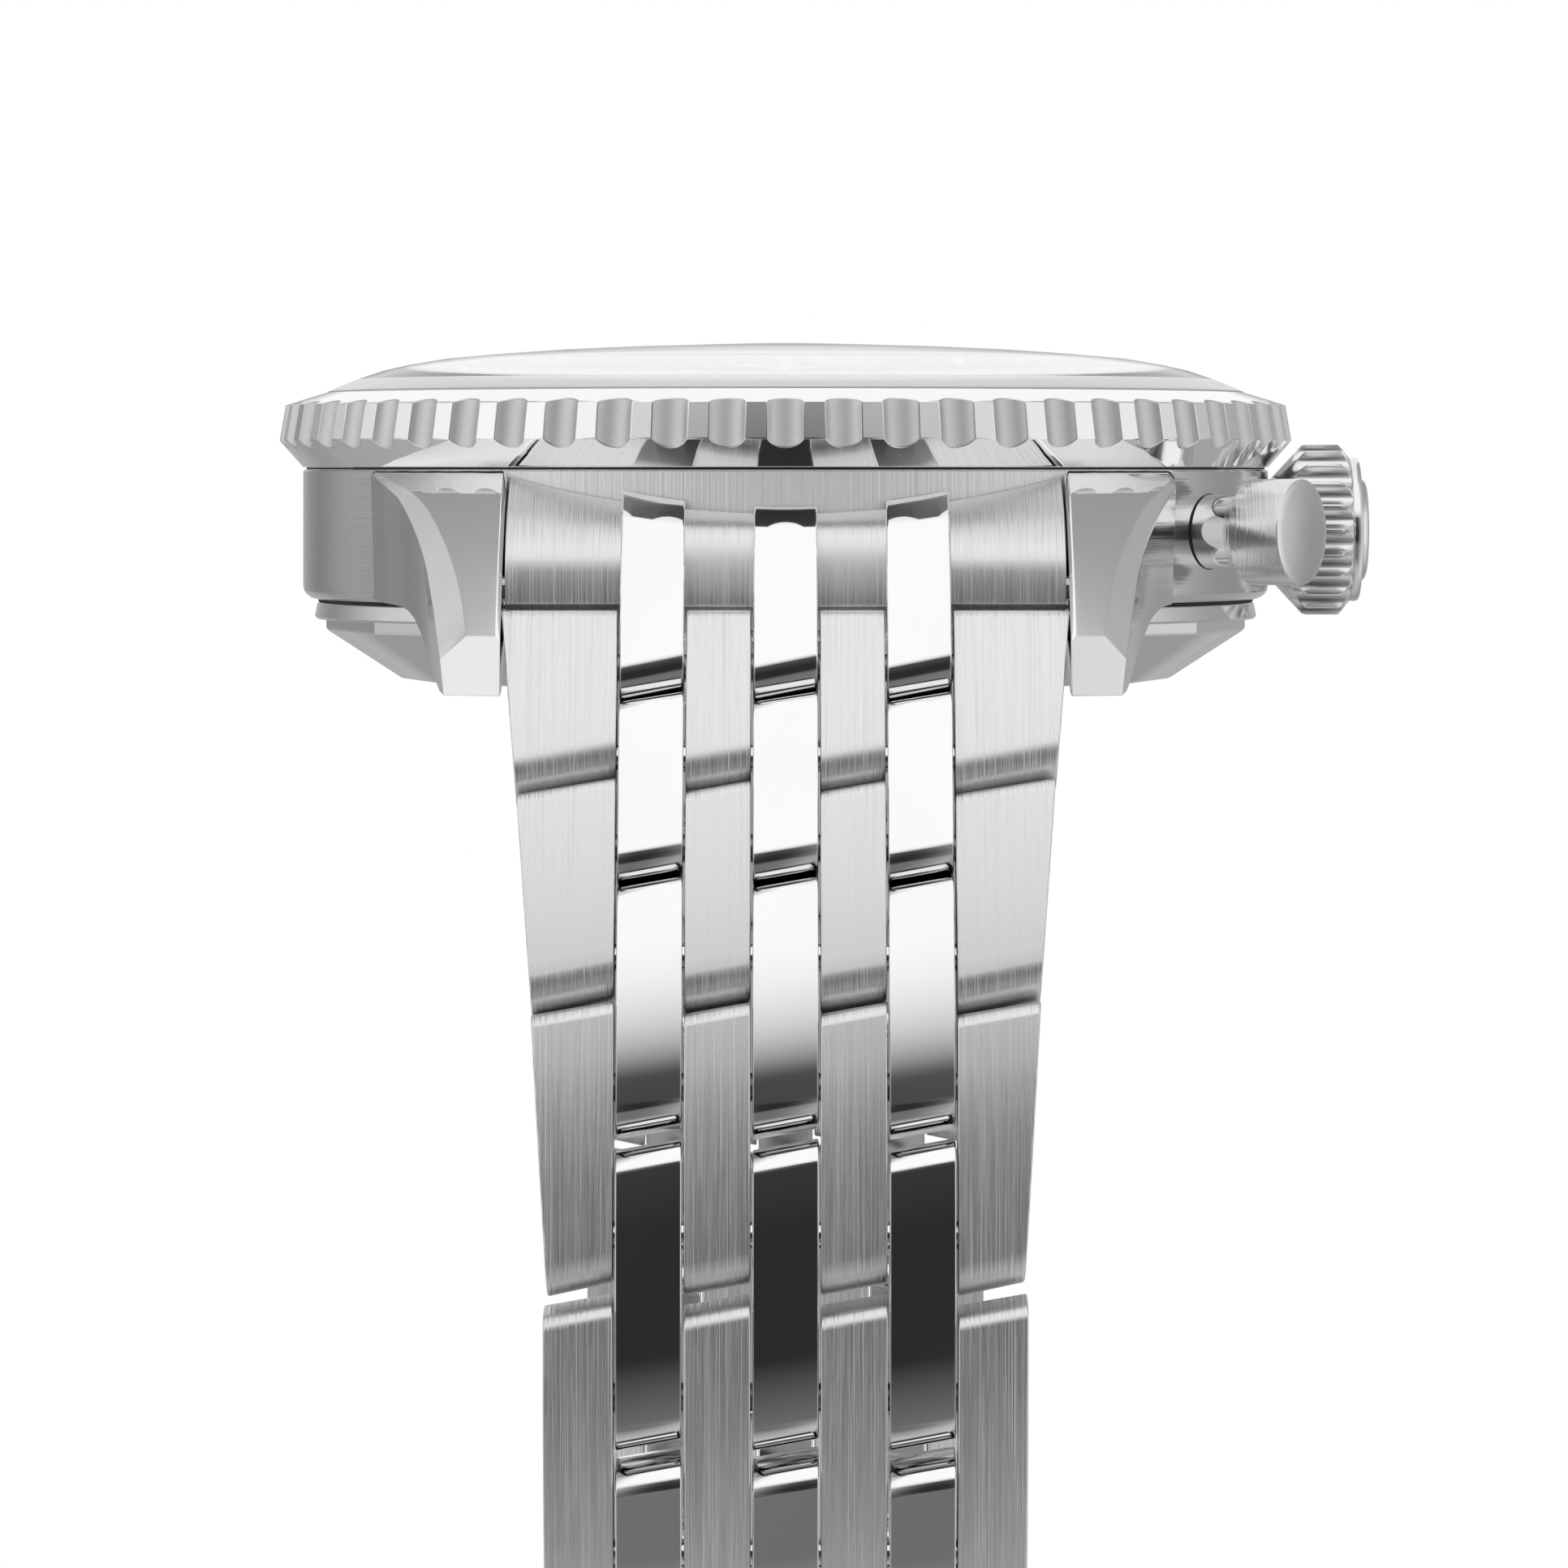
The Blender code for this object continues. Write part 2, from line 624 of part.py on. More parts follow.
def subdial_centres():
    """Small seconds at 9 o'clock, minute counter at 3 and hour counter at 6."""
    reach = SUBDIAL_OFFSET
    return {"small_seconds": (-reach, 0), "minute_counter": (reach, 0), "hour_counter": (0, -reach)}


def make_dial():
    low = DIAL_SEAT + SEAT
    holes = [circle(HOUR_PIPE + 2 * RUNNING, 12)]
    for centre in subdial_centres().values():
        holes.append(circle(ARBOR_RADIUS + RUNNING, PIN_SIDES, centre))
    disc = plate([circle(DIAL_RADIUS, ROUND_STEPS)] + holes, low, dial_top())
    for x, y in subdial_centres().values():
        place = Matrix.Translation((x * MM, y * MM, 0))
        floor = dial_top() - SUBDIAL_DEPTH
        disc = cut(disc, rod(SUBDIAL_RADIUS, floor, dial_top() + OVER, ROUND_STEPS // 2, place))
    piece("dial", disc, DARK_DIAL)


def hand_outline(length, tail, width, boss):
    """A baton hand pointing to 12 o'clock: round boss, short tail and a pointed tip."""
    half = width / 2
    root = sqrt(boss**2 - half**2)
    right = degrees(atan2(root, half))
    return (
        [(half, length - width), (0, length), (-half, length - width), (-half, root)]
        + arc(boss, 180 - right, 180 + right, 5)[1:-1]
        + [(-half, -root), (-half, -tail), (half, -tail), (half, -root)]
        + arc(boss, -right, right, 5)[1:-1]
        + [(half, root)]
    )


def hand(length, tail, width, boss, low, pipe, pipe_low, centre=(0, 0), turn=0, bore=None):
    """A hand on its pipe or arbor, pointing turn degrees from 12 o'clock."""
    high = low + HAND_THICKNESS
    place = at(centre) @ about_z(-turn)
    blade = plate([hand_outline(length, tail, width, boss)], low, high, place)
    blade = joined(blade, rod(pipe, pipe_low, high + GAP / 2, 12, place))
    if bore:
        blade = cut(blade, rod(bore, pipe_low - OVER, high + OVER, 12, place))
    return blade


def hand_height(level):
    return dial_top() + HAND_STEP * level


def make_hands():
    lows = [hand_height(level) for level in (1, 2, 3)]
    hour = hand(
        HOUR_HAND_LENGTH, 2.0, 1.3, 1.15, lows[0], HOUR_PIPE, PLATE_TOP + SEAT,
        turn=HOUR_HAND_TURN, bore=MINUTE_PIPE + RUNNING,
    )
    piece("hour_hand", hour, HAND_STEEL)
    minute = hand(
        MINUTE_HAND_LENGTH, 2.4, 1.1, 1.0, lows[1], MINUTE_PIPE + 0.25, lows[1] - GAP,
        turn=MINUTE_HAND_TURN, bore=MINUTE_PIPE + SEAT / 2,
    )
    piece("minute_hand", minute, HAND_STEEL)
    seconds = hand(CHRONO_HAND_LENGTH, 4.6, 0.4, 0.8, lows[2], CHRONO_ARBOR, FLOOR)
    piece("chrono_seconds_hand", seconds, HAND_STEEL)
    low = dial_top() + SUBHAND_GAP
    small = (SUBHAND_LENGTH, 1.0, 0.4, 0.45, low)
    centres = subdial_centres()
    for name in ("minute_counter", "hour_counter"):
        centre = centres[name]
        counter = hand(*small, ARBOR_RADIUS, PLATE_TOP - 8 * GAP, centre)
        piece(name + "_hand", counter, HAND_STEEL, (*centre, 0))
    centre = centres["small_seconds"]
    boss = ARBOR_RADIUS + SEAT / 2
    seconds = hand(
        *small, boss + 0.15, low - SEAT, centre, SMALL_SECONDS_TURN, boss
    )
    piece("small_seconds_hand", seconds, HAND_STEEL, (*centre, 0))


def make_crown():
    ring_end = CROWN_RING + CROWN_RING_WIDTH
    profile = [
        (0, CROWN_END),
        (CROWN_CAP_RADIUS * 0.6, CROWN_END - CROWN_CAP_HEIGHT * 0.3),
        (CROWN_CAP_RADIUS, ring_end),
        (CROWN_RING_RADIUS, ring_end),
        (CROWN_RING_RADIUS, CROWN_RING),
        (CROWN_RADIUS, CROWN_SHOULDER),
        (CROWN_RADIUS, CROWN_FULL),
        (CROWN_NECK_RADIUS, CROWN_START),
        (0, CROWN_START),
    ]
    knob = turned(profile, CROWN_FLUTES, crown_axis())
    mills = []
    for i in range(CROWN_FLUTES):
        turn = about_z(360 * (i + 0.5) / CROWN_FLUTES)
        place = crown_axis() @ turn @ at((CROWN_RADIUS + CROWN_FLUTE_SHIFT, 0))
        mills.append(rod(CROWN_FLUTE_RADIUS, CROWN_START - OVER, CROWN_RING - SEAT, 6, place))
    hollow = STEM_RADIUS + RUNNING + TUBE_WALL + RUNNING
    bore = rod(hollow, CROWN_START - OVER, CROWN_TUBE_END + SEAT, TUBE_SIDES, crown_axis())
    piece("crown", cut(knob, together(mills), bore), BRIGHT_STEEL, (0, 0, CROWN_Z))
    waist = STEM_RADIUS - STEM_GROOVE_DEPTH
    stem = [
        (0, CROWN_TUBE_END),
        (STEM_RADIUS, CROWN_TUBE_END),
        (STEM_RADIUS, STEM_GROOVE + STEM_GROOVE_HALF),
        (waist, STEM_GROOVE + STEM_GROOVE_HALF),
        (waist, STEM_GROOVE - STEM_GROOVE_HALF),
        (STEM_RADIUS, STEM_GROOVE - STEM_GROOVE_HALF),
        (STEM_RADIUS, STEM_INNER_END),
        (0, STEM_INNER_END),
    ]
    piece("winding_stem", turned(stem, 12, crown_axis()), BRIGHT_STEEL, (0, 0, CROWN_Z))
    slot = waist + RUNNING
    arm = [
        (slot, 0.8),
        (slot, -0.3),
        (-slot, -0.3),
        (-slot, 0.8),
        (-1.2, 0.8),
        (-1.2, -0.8),
        (LEVER_LENGTH, -0.8),
        (LEVER_LENGTH, 0.0),
        (1.2, 0.0),
        (1.2, 0.8),
    ]
    place = along_x((STEM_GROOVE, 0, CROWN_Z - 0.15))
    lever = plate([arm], -LEVER_HALF, LEVER_HALF, place)
    piece("setting_lever", lever, BRIGHT_STEEL, (STEM_GROOVE, 0, CROWN_Z))


def make_pushers():
    profile = [
        (0, PUSHER_END),
        (PUSHER_HEAD_RADIUS * 0.6, PUSHER_END - 0.06),
        (PUSHER_HEAD_RADIUS, PUSHER_END - 0.25),
        (PUSHER_HEAD_RADIUS, PUSHER_HEAD_START),
        (PUSHER_NECK_RADIUS, PUSHER_HEAD_START),
        (PUSHER_NECK_RADIUS, PUSHER_NECK_END),
        (0, PUSHER_NECK_END),
    ]
    for name, side in (("pusher_2", 1), ("pusher_4", -1)):
        button = turned(profile, TUBE_SIDES, pusher_axis(side))
        piece(name, button, BRIGHT_STEEL, (0, 0, CROWN_Z))


# ---------------------------------------------------------------- movement


def gear(teeth, module, tip_towards, low, high, centre, gap=False):
    """A wheel with pointed teeth. A tooth, or with gap a space, faces the given direction."""
    pitch = teeth * module / 2
    tip, root = pitch + module * 0.8, pitch - module
    first = radians(tip_towards + (180 / teeth if gap else 0))
    outline = []
    for i in range(teeth):
        for radius, share in ((tip, 0), (root, 0.5)):
            angle = first + 2 * pi * (i + share) / teeth
            outline.append((radius * cos(angle), radius * sin(angle)))
    return plate([outline], low, high, at(centre))


def wheel_at(level, teeth, module, centre, mate):
    """A thin wheel with a tooth towards the pinion that it drives."""
    return gear(teeth, module, towards(centre, mate), level, level + WHEEL_THICKNESS, centre)


def at(centre, height=0):
    return Matrix.Translation((centre[0] * MM, centre[1] * MM, height * MM))


def towards(start, end):
    return degrees(atan2(end[1] - start[1], end[0] - start[0]))


def polar(start, distance, angle):
    return (start[0] + distance * cos(radians(angle)), start[1] + distance * sin(radians(angle)))


def train_centres():
    """Where each arbor stands: neighbours are a wheel's and a pinion's pitch radius apart."""
    centre = (0.0, 0.0)
    fourth = subdial_centres()["small_seconds"]
    to_third = CENTRE_MODULE * (CENTRE_TEETH + THIRD_PINION_TEETH) / 2
    third_to_fourth = THIRD_MODULE * (THIRD_TEETH + FOURTH_PINION_TEETH) / 2
    to_escape = FOURTH_MODULE * (FOURTH_TEETH + ESCAPE_PINION_TEETH) / 2
    to_barrel = BARREL_MODULE * (BARREL_TEETH + CENTRE_PINION_TEETH) / 2
    along = (SUBDIAL_OFFSET**2 + to_third**2 - third_to_fourth**2) / (2 * SUBDIAL_OFFSET)
    escape = polar(fourth, to_escape, ESCAPE_ANGLE)
    return {
        "barrel": polar(centre, to_barrel, BARREL_ANGLE),
        "centre": centre,
        "third": (-along, sqrt(to_third**2 - along**2)),
        "fourth": fourth,
        "escape": escape,
        "pallet": polar(escape, PALLET_REACH, BALANCE_ANGLE),
        "balance": polar(escape, BALANCE_REACH, BALANCE_ANGLE),
    }


def pinion_at(level, teeth, module, centre, mate, rise=PINION_RISE):
    """A pinion whose tooth space faces the wheel that drives it."""
    return gear(
        teeth, module, towards(centre, mate), level - PINION_DROP, level + rise, centre, True
    )


def arbor_at(centre, radius=WHEEL_ARBOR, top=CEILING, sides=PIN_SIDES):
    return rod(radius, FLOOR, top, sides, at(centre))


def make_plates():
    holes = [circle(MINUTE_PIPE + RUNNING, 12)]
    for spot in subdial_centres().values():
        holes.append(circle(ARBOR_RADIUS + RUNNING, PIN_SIDES, spot))
    main = plate([circle(PLATE_RADIUS, ROUND_STEPS)] + holes, PLATE_BOTTOM, PLATE_TOP)
    piece("main_plate", main, BRASS)
    top = BRIDGE_BOTTOM + BRIDGE_THICKNESS
    bridge = plate([circle(BRIDGE_RADIUS, ROUND_STEPS)], BRIDGE_BOTTOM, top)
    for angle in PILLAR_ANGLES:
        foot = at(polar((0, 0), BRIDGE_RADIUS - 1.6 * PILLAR_RADIUS, angle))
        bridge = joined(bridge, rod(PILLAR_RADIUS, top - 3 * LAP, CEILING, 12, foot))
    piece("train_bridge", bridge, BRASS)


def make_train():
    spots = train_centres()
    centre, third, fourth = spots["centre"], spots["third"], spots["fourth"]
    barrel, escape = spots["barrel"], spots["escape"]

    tooth_top = BARREL_LEVEL + BARREL_TOOTH_HEIGHT
    facing = towards(barrel, centre)
    teeth = gear(BARREL_TEETH, BARREL_MODULE, facing, BARREL_LEVEL, tooth_top, barrel)
    radius = BARREL_TEETH * BARREL_MODULE / 2 - 5 * LAP
    low = BARREL_LEVEL - 2 * LAP
    drum = rod(radius, low, low + BARREL_DRUM_HEIGHT, 24, at(barrel))
    arbor = arbor_at(barrel, 3 * WHEEL_ARBOR, sides=12)
    piece("mainspring_barrel", joined(drum, teeth, arbor), BRASS, (*barrel, 0))

    wheel = wheel_at(CENTRE_LEVEL, CENTRE_TEETH, CENTRE_MODULE, centre, third)
    rise = BARREL_TOOTH_HEIGHT + 2 * LAP
    pinion = pinion_at(BARREL_LEVEL, CENTRE_PINION_TEETH, BARREL_MODULE, centre, barrel, rise)
    arbor = arbor_at(centre, MINUTE_PIPE, hand_height(2), 12)
    bore = rod(CHRONO_ARBOR + RUNNING, FLOOR - OVER, hand_height(3), 12)
    piece("centre_wheel", cut(joined(arbor, wheel, pinion), bore), BRASS)

    wheel = wheel_at(THIRD_LEVEL, THIRD_TEETH, THIRD_MODULE, third, fourth)
    pinion = pinion_at(CENTRE_LEVEL, THIRD_PINION_TEETH, CENTRE_MODULE, third, centre)
    piece("third_wheel", joined(arbor_at(third), wheel, pinion), BRASS, (*third, 0))

    wheel = wheel_at(FOURTH_LEVEL, FOURTH_TEETH, FOURTH_MODULE, fourth, escape)
    pinion = pinion_at(THIRD_LEVEL, FOURTH_PINION_TEETH, THIRD_MODULE, fourth, third)
    arbor = arbor_at(fourth, ARBOR_RADIUS, dial_top() + SUBHAND_GAP)
    piece("fourth_wheel", joined(arbor, wheel, pinion), BRASS, (*fourth, 0))


def make_escapement():
    spots = train_centres()
    escape, pallet, balance = spots["escape"], spots["pallet"], spots["balance"]
    points = []
    for i in range(ESCAPE_TEETH):
        for radius, share in ((ESCAPE_RADIUS, 0), (ESCAPE_RADIUS * 0.62, 0.35)):
            points.append(polar((0, 0), radius, 360 * (i + share) / ESCAPE_TEETH))
    wheel = plate([points], ESCAPE_LEVEL, ESCAPE_LEVEL + WHEEL_THICKNESS, at(escape))
    pinion = pinion_at(
        FOURTH_LEVEL, ESCAPE_PINION_TEETH, FOURTH_MODULE, escape, spots["fourth"]
    )
    made = joined(arbor_at(escape), wheel, pinion)
    piece("escape_wheel", made, HAND_STEEL, (*escape, 0))

    half_fork = [(0.2, 3.2), (0.25, 0.35), (1.3, 0.1), (1.6, -0.9), (1.35, -1.15), (1.0, -0.3)]
    fork = half_fork[::-1] + [(-x, y) for x, y in half_fork]
    place = at(pallet) @ about_z(towards(pallet, balance) - 90)
    anchor = plate([fork], ESCAPE_LEVEL, ESCAPE_LEVEL + WHEEL_THICKNESS, place)
    piece("pallet_fork", joined(anchor, arbor_at(pallet)), HAND_STEEL, (*pallet, 0))

    inner = BALANCE_RADIUS - BALANCE_RIM
    outlines = [circle(BALANCE_RADIUS, 32), circle(inner, 32)]
    top = BALANCE_LEVEL + BALANCE_RIM
    rim = plate(outlines, BALANCE_LEVEL, top, at(balance))
    reach = inner + BALANCE_RIM / 2
    spoke = box(
        (-reach, -BALANCE_RIM / 2, BALANCE_LEVEL + LAP), (reach, BALANCE_RIM / 2, top - LAP),
        at(balance),
    )
    piece("balance_wheel", joined(rim, spoke, arbor_at(balance)), BRASS, (*balance, 0))


def make_rotor():
    half = arc(ROTOR_RADIUS, 180, 360, 24) + arc(ROTOR_HUB_RADIUS - LAP, 0, 180, 6)
    weight = plate([half], ROTOR_BOTTOM, ROTOR_BOTTOM + ROTOR_THICKNESS)
    hub = rod(ROTOR_HUB_RADIUS, ROTOR_BOTTOM + LAP, BRIDGE_BOTTOM - SEAT, 16)
    piece("winding_rotor", joined(weight, hub), HAND_STEEL)


# ---------------------------------------------------------------- bracelet


def outward(lean):
    """Direction along a row, away from the case, in (distance from 6-12 centre, height)."""
    return (sin(radians(lean)), -cos(radians(lean)))


def joint_line():
    """Pivots of one half of the bracelet: the first joins the end link to row 1."""
    step, lean = END_LINK_STEP
    way = outward(lean)
    point = (END_LINK_AXIS[0] + step * way[0], END_LINK_AXIS[1] + step * way[1])
    points = [point]
    for step, lean in LINK_STEPS:
        way = outward(lean)
        point = (point[0] + step * way[0], point[1] + step * way[1])
        points.append(point)
    return points


def strands(kind, half_width):
    """X ranges of the plates in a row: brushed rows have four, polished rows three."""
    places = (-2, 0, 2) if kind == "polished" else (-1, 1)
    inner = [(k * STRAND_PITCH - STRAND_HALF, k * STRAND_PITCH + STRAND_HALF) for k in places]
    if kind == "polished":
        return inner
    outer = 3 * STRAND_PITCH - STRAND_HALF
    return [(-half_width, -outer)] + inner + [(outer, half_width)]


def half_width_at(row):
    """Half the bracelet's width at a pivot: it narrows evenly over the first rows."""
    share = min(row / TAPER_ROWS, 1)
    return END_HALF_WIDTH + (CLASP_HALF_WIDTH - END_HALF_WIDTH) * share


def end_radius(spacing):
    """Radius of a row's round end, so that it clears the next end of its kind."""
    return (spacing - GAP) / 2


def round_end(radius, heading, centre=(0, 0), steps=ARC_STEPS):
    """A link's end seen from the side: an arc as high as the link is thick, about its pin."""
    half = degrees(asin(LINK_HALF / radius))
    return arc(radius, heading + half, heading - half, steps, centre)


def row_outline(length, spacing_before, spacing_after):
    """Side view of a row: its pin at (0, 0), its bore at (0, -length), outer face at +u."""
    top = round_end(end_radius(spacing_before), 90)
    low = round_end(end_radius(spacing_after), -90, (0, -length))
    return top[::-1] + low[::-1]


def shear_ends(mesh, length, x_middle, top_too):
    """Slant a plate's ends, leaving its bore straight."""
    straight = PIN_RADIUS + RUNNING + SEAT
    for vertex in mesh.vertices:
        point = vertex.co
        if point.z > -length * MM / 2 and not top_too:
            continue
        from_pins = min(hypot(point.y, point.z), hypot(point.y, point.z + length * MM))
        if from_pins > straight * MM:
            point.z -= LINK_SLANT * (point.x - x_middle * MM)


def taper(mesh, length, start, end):
    """Draw a row's outer faces in, from its pin to its bore."""
    for vertex in mesh.vertices:
        if abs(vertex.co.x) > (start - GAP) * MM:
            share = -vertex.co.z / (length * MM)
            vertex.co.x *= (start + (end - start) * share) / start


def make_row(name, kind, index, mirror):
    """Row number index of the 12 o'clock half (mirror 1) or the 6 o'clock half (mirror -1)."""
    spacings = [END_LINK_STEP[0]] + [step for step, _ in LINK_STEPS] + [CLASP_SPACING]
    length, lean = LINK_STEPS[index - 1]
    outline = row_outline(length, spacings[index - 1], spacings[index + 1])
    bore = circle(PIN_RADIUS + RUNNING, PIN_SIDES, (0, -length))
    start, end = half_width_at(index - 1), half_width_at(index)
    faces_end_link = index <= 2
    plates = []
    for low, high in strands(kind, start):
        mesh = plate([outline, bore], low, high, along_x())
        shear_ends(mesh, length, (low + high) / 2, not faces_end_link)
        plates.append(mesh)
    row = together(plates)
    if kind == "brushed":
        taper(row, length, start, end)
    reach = (end if kind == "polished" else start) - WALL
    row = joined(row, rod(PIN_RADIUS, -reach, reach, PIN_SIDES, along_x()))
    if mirror < 0 and index == len(LINK_STEPS):
        bar = 2 * STRAND_PITCH + STRAND_HALF - SEAT
        end_bar = rod(END_BAR_RADIUS, -bar, bar, PIN_SIDES, along_x((0, 0, -length)))
        row = joined(row, end_bar)
    y, z = joint_line()[index - 1]
    look = BRUSHED_STEEL if kind == "brushed" else POLISHED_STEEL
    turn = (radians(lean), 0, 0 if mirror > 0 else pi)
    piece(name, row, look, (0, mirror * y, z), turn, in_place=False)


def moved(point, way, distance):
    return (point[0] + way[0] * distance, point[1] + way[1] * distance)


def make_end_link(name, mirror):
    """The solid piece between case and bracelet, with three polished tongues for row 1's pin."""
    step, lean = END_LINK_STEP
    way = outward(lean)
    face = (-way[1], way[0])
    heading = degrees(atan2(way[1], way[0]))
    top = [
        (CASE_RADIUS - 3.6, CASE_TOP - 0.55),
        (CASE_RADIUS - 1.7, CASE_TOP - 1.3),
        (CASE_RADIUS, CASE_TOP - 2.2),
    ]
    bottom = [(CASE_RADIUS - 0.3, LUG_TIP_TOP), (CASE_RADIUS - 3.6, LUG_TIP_TOP + 2.0)]
    side = top + round_end(end_radius(step), heading, END_LINK_AXIS, 4) + bottom
    bar_y, bar_z = spring_bar_centre()
    block = plate([side], -END_HALF_WIDTH, END_HALF_WIDTH, along_x())
    pin = joint_line()[0]
    root = moved(pin, way, -0.75 * step)
    tongue = (
        [moved(root, face, LINK_HALF - LAP)]
        + round_end(end_radius(LINK_STEPS[0][0]), heading, pin)
        + [moved(root, face, 4 * LAP - LINK_HALF)]
    )
    hole = circle(PIN_RADIUS + RUNNING, PIN_SIDES, pin)
    for low, high in strands("polished", END_HALF_WIDTH):
        block = joined(block, plate([tongue, hole], low, high, along_x()))
    reach = END_HALF_WIDTH + OVER
    place = along_x((0, bar_y, bar_z))
    bar_hole = rod(SPRING_BAR_RADIUS + RUNNING, -reach, reach, SPRING_BAR_SIDES, place)
    room = rod(CASE_RADIUS + 0.15, -OVER, CASE_TOP + OVER, 2 * ROUND_STEPS)
    block = cut(block, bar_hole, room)
    if mirror < 0:
        block.transform(about_z(180))
    piece(name, block, BRUSHED_STEEL, (0, mirror * bar_y, bar_z))


def make_spring_bar(name, mirror):
    bar_y, bar_z = spring_bar_centre()
    reach = LUG_GAP_HALF + SPRING_BAR_REACH
    centre = (0, mirror * bar_y, bar_z)
    bar = rod(SPRING_BAR_RADIUS, -reach, reach, SPRING_BAR_SIDES, along_x(centre))
    piece(name, bar, BRIGHT_STEEL, centre)


# ---------------------------------------------------------------- folding clasp


def clasp_circle():
    """Centre height and radius of the arc through the last pivots of both halves."""
    y, z = joint_line()[-1]
    radius = y / sin(radians(CLASP_END_ANGLE))
    return z + radius * cos(radians(CLASP_END_ANGLE)), radius


def on_clasp(lift, angle):
    """(y, z) of a point that far inside the pins' arc, the angle measured towards 12 o'clock."""
    height, radius = clasp_circle()
    reach = radius - lift
    return (reach * sin(radians(angle)), height - reach * cos(radians(angle)))


def clasp_angle(length):
    """The angle that a length along the pins' arc takes."""
    return degrees(length / clasp_circle()[1])


def band(lift, thickness, start, end, low, high, steps=12):
    """A curved strip, its outer face that far inside the pins' arc, from low to high in X."""
    height, radius = clasp_circle()
    outer = arc(radius - lift, start - 90, end - 90, steps, (0, height))
    inner = arc(radius - lift - thickness, end - 90, start - 90, steps, (0, height))
    return plate([outer + inner], low, high, along_x())


def clasp_rod(radius, spot, low, high, sides=12):
    return rod(radius, low, high, sides, along_x((0, *spot)))


def cover_hinge():
    return on_clasp(GAP, COVER_HINGE_ANGLE)


def blade_hinge():
    return on_clasp(BLADE_HINGE_LIFT, BLADE_HINGE_ANGLE)


def make_cover():
    width = COVER_HALF_WIDTH
    end_pin = joint_line()[-1]
    plate_end = CLASP_END_ANGLE - clasp_angle(end_radius(CLASP_SPACING) + 2 * GAP)
    start = COVER_HINGE_ANGLE - clasp_angle(0.45)
    bottom = -COVER_DROP - COVER_THICKNESS
    cover = band(bottom, COVER_THICKNESS, start, plate_end, -width, width)
    for side in (-1, 1):
        outside = width + COVER_LIP
        near, far = sorted((side * outside, side * (outside - COVER_WALL)))
        wall = band(bottom - COVER_LIP, COVER_WALL_HEIGHT, start - 0.6, plate_end + 0.5, near, far)
        cover = joined(cover, wall)
    root = plate_end - 2.5
    shank = [
        on_clasp(-1.1, CLASP_END_ANGLE),
        on_clasp(bottom + LAP, root),
        on_clasp(0.9, root),
        on_clasp(1.1, CLASP_END_ANGLE),
    ]
    for near, far in strands("brushed", width + LAP / 2):
        knuckle = plate([shank], near, far, along_x())
        eye = clasp_rod(LINK_HALF, end_pin, near + LAP / 4, far - LAP / 4)
        cover = joined(cover, knuckle, eye)
    reach = width - WALL
    pin = clasp_rod(PIN_RADIUS, end_pin, -reach, reach, PIN_SIDES)
    hinge_pin = clasp_rod(CLASP_PIN_RADIUS, cover_hinge(), -reach, reach, PIN_SIDES)
    cover = joined(cover, pin, hinge_pin)
    half = clasp_angle(BUTTON_LENGTH / 2 + RUNNING)
    for side in (-1, 1):
        near, far = sorted((side * (width - COVER_WALL - OVER), side * (width + OVER)))
        height = BUTTON_HEIGHT + 2 * RUNNING
        slot = band(BUTTON_DROP - RUNNING, height, -half, half, near, far, 2)
        cover = cut(cover, slot)
    piece("clasp_cover", cover, BRUSHED_STEEL, (0, *end_pin))


def make_buttons():
    half = clasp_angle(BUTTON_LENGTH / 2)
    lip = clasp_angle(BUTTON_LENGTH / 2 + BUTTON_FLANGE)
    inside = COVER_HALF_WIDTH + COVER_LIP - COVER_WALL - SEAT
    outside = COVER_HALF_WIDTH + COVER_LIP + BUTTON_REACH
    spot = on_clasp(BUTTON_DROP + BUTTON_HEIGHT / 2, 0)
    for name, side in (("clasp_button_right", 1), ("clasp_button_left", -1)):
        near, far = sorted((side * (inside - BUTTON_FLANGE / 2), side * outside))
        button = band(BUTTON_DROP, BUTTON_HEIGHT, -half, half, near, far, 2)
        near, far = sorted((side * (inside - BUTTON_FLANGE), side * inside))
        lift = BUTTON_DROP - BUTTON_FLANGE / 2
        flange = band(lift, BUTTON_HEIGHT + BUTTON_FLANGE, -lip, lip, near, far, 2)
        piece(name, joined(button, flange), POLISHED_STEEL, (side * COVER_HALF_WIDTH, *spot))


def make_outer_blade():
    width = OUTER_BLADE_HALF_WIDTH
    lift = OUTER_BLADE_LIFT - BLADE_THICKNESS
    short = BLADE_HINGE_ANGLE - 3.0
    blade = band(lift, BLADE_THICKNESS, COVER_HINGE_ANGLE, short, -width, width)
    blade = joined(blade, clasp_rod(KNUCKLE_RADIUS, cover_hinge(), LAP - width, width - LAP))
    arm = [
        on_clasp(OUTER_BLADE_LIFT - LAP / 2, short - 2),
        on_clasp(lift + LAP / 2, short - 2),
        on_clasp(BLADE_HINGE_LIFT - KNUCKLE_RADIUS + LAP / 2, BLADE_HINGE_ANGLE),
        on_clasp(BLADE_HINGE_LIFT + KNUCKLE_RADIUS - LAP / 2, BLADE_HINGE_ANGLE),
    ]
    for side in (-1, 1):
        near, far = sorted((side * (INNER_BLADE_HALF_WIDTH + 1.5 * GAP), side * (width - LAP / 2)))
        ear = plate([arm[::-1]], near, far, along_x())
        eye = clasp_rod(KNUCKLE_RADIUS, blade_hinge(), near + LAP / 4, far - LAP / 4)
        blade = joined(blade, ear, eye)
    reach = width - WALL
    blade = joined(blade, clasp_rod(CLASP_PIN_RADIUS, blade_hinge(), -reach, reach, PIN_SIDES))
    reach = width + OVER
    bore = clasp_rod(CLASP_PIN_RADIUS + RUNNING, cover_hinge(), -reach, reach, PIN_SIDES)
    piece("clasp_blade_outer", cut(blade, bore), POLISHED_STEEL, (0, *cover_hinge()))


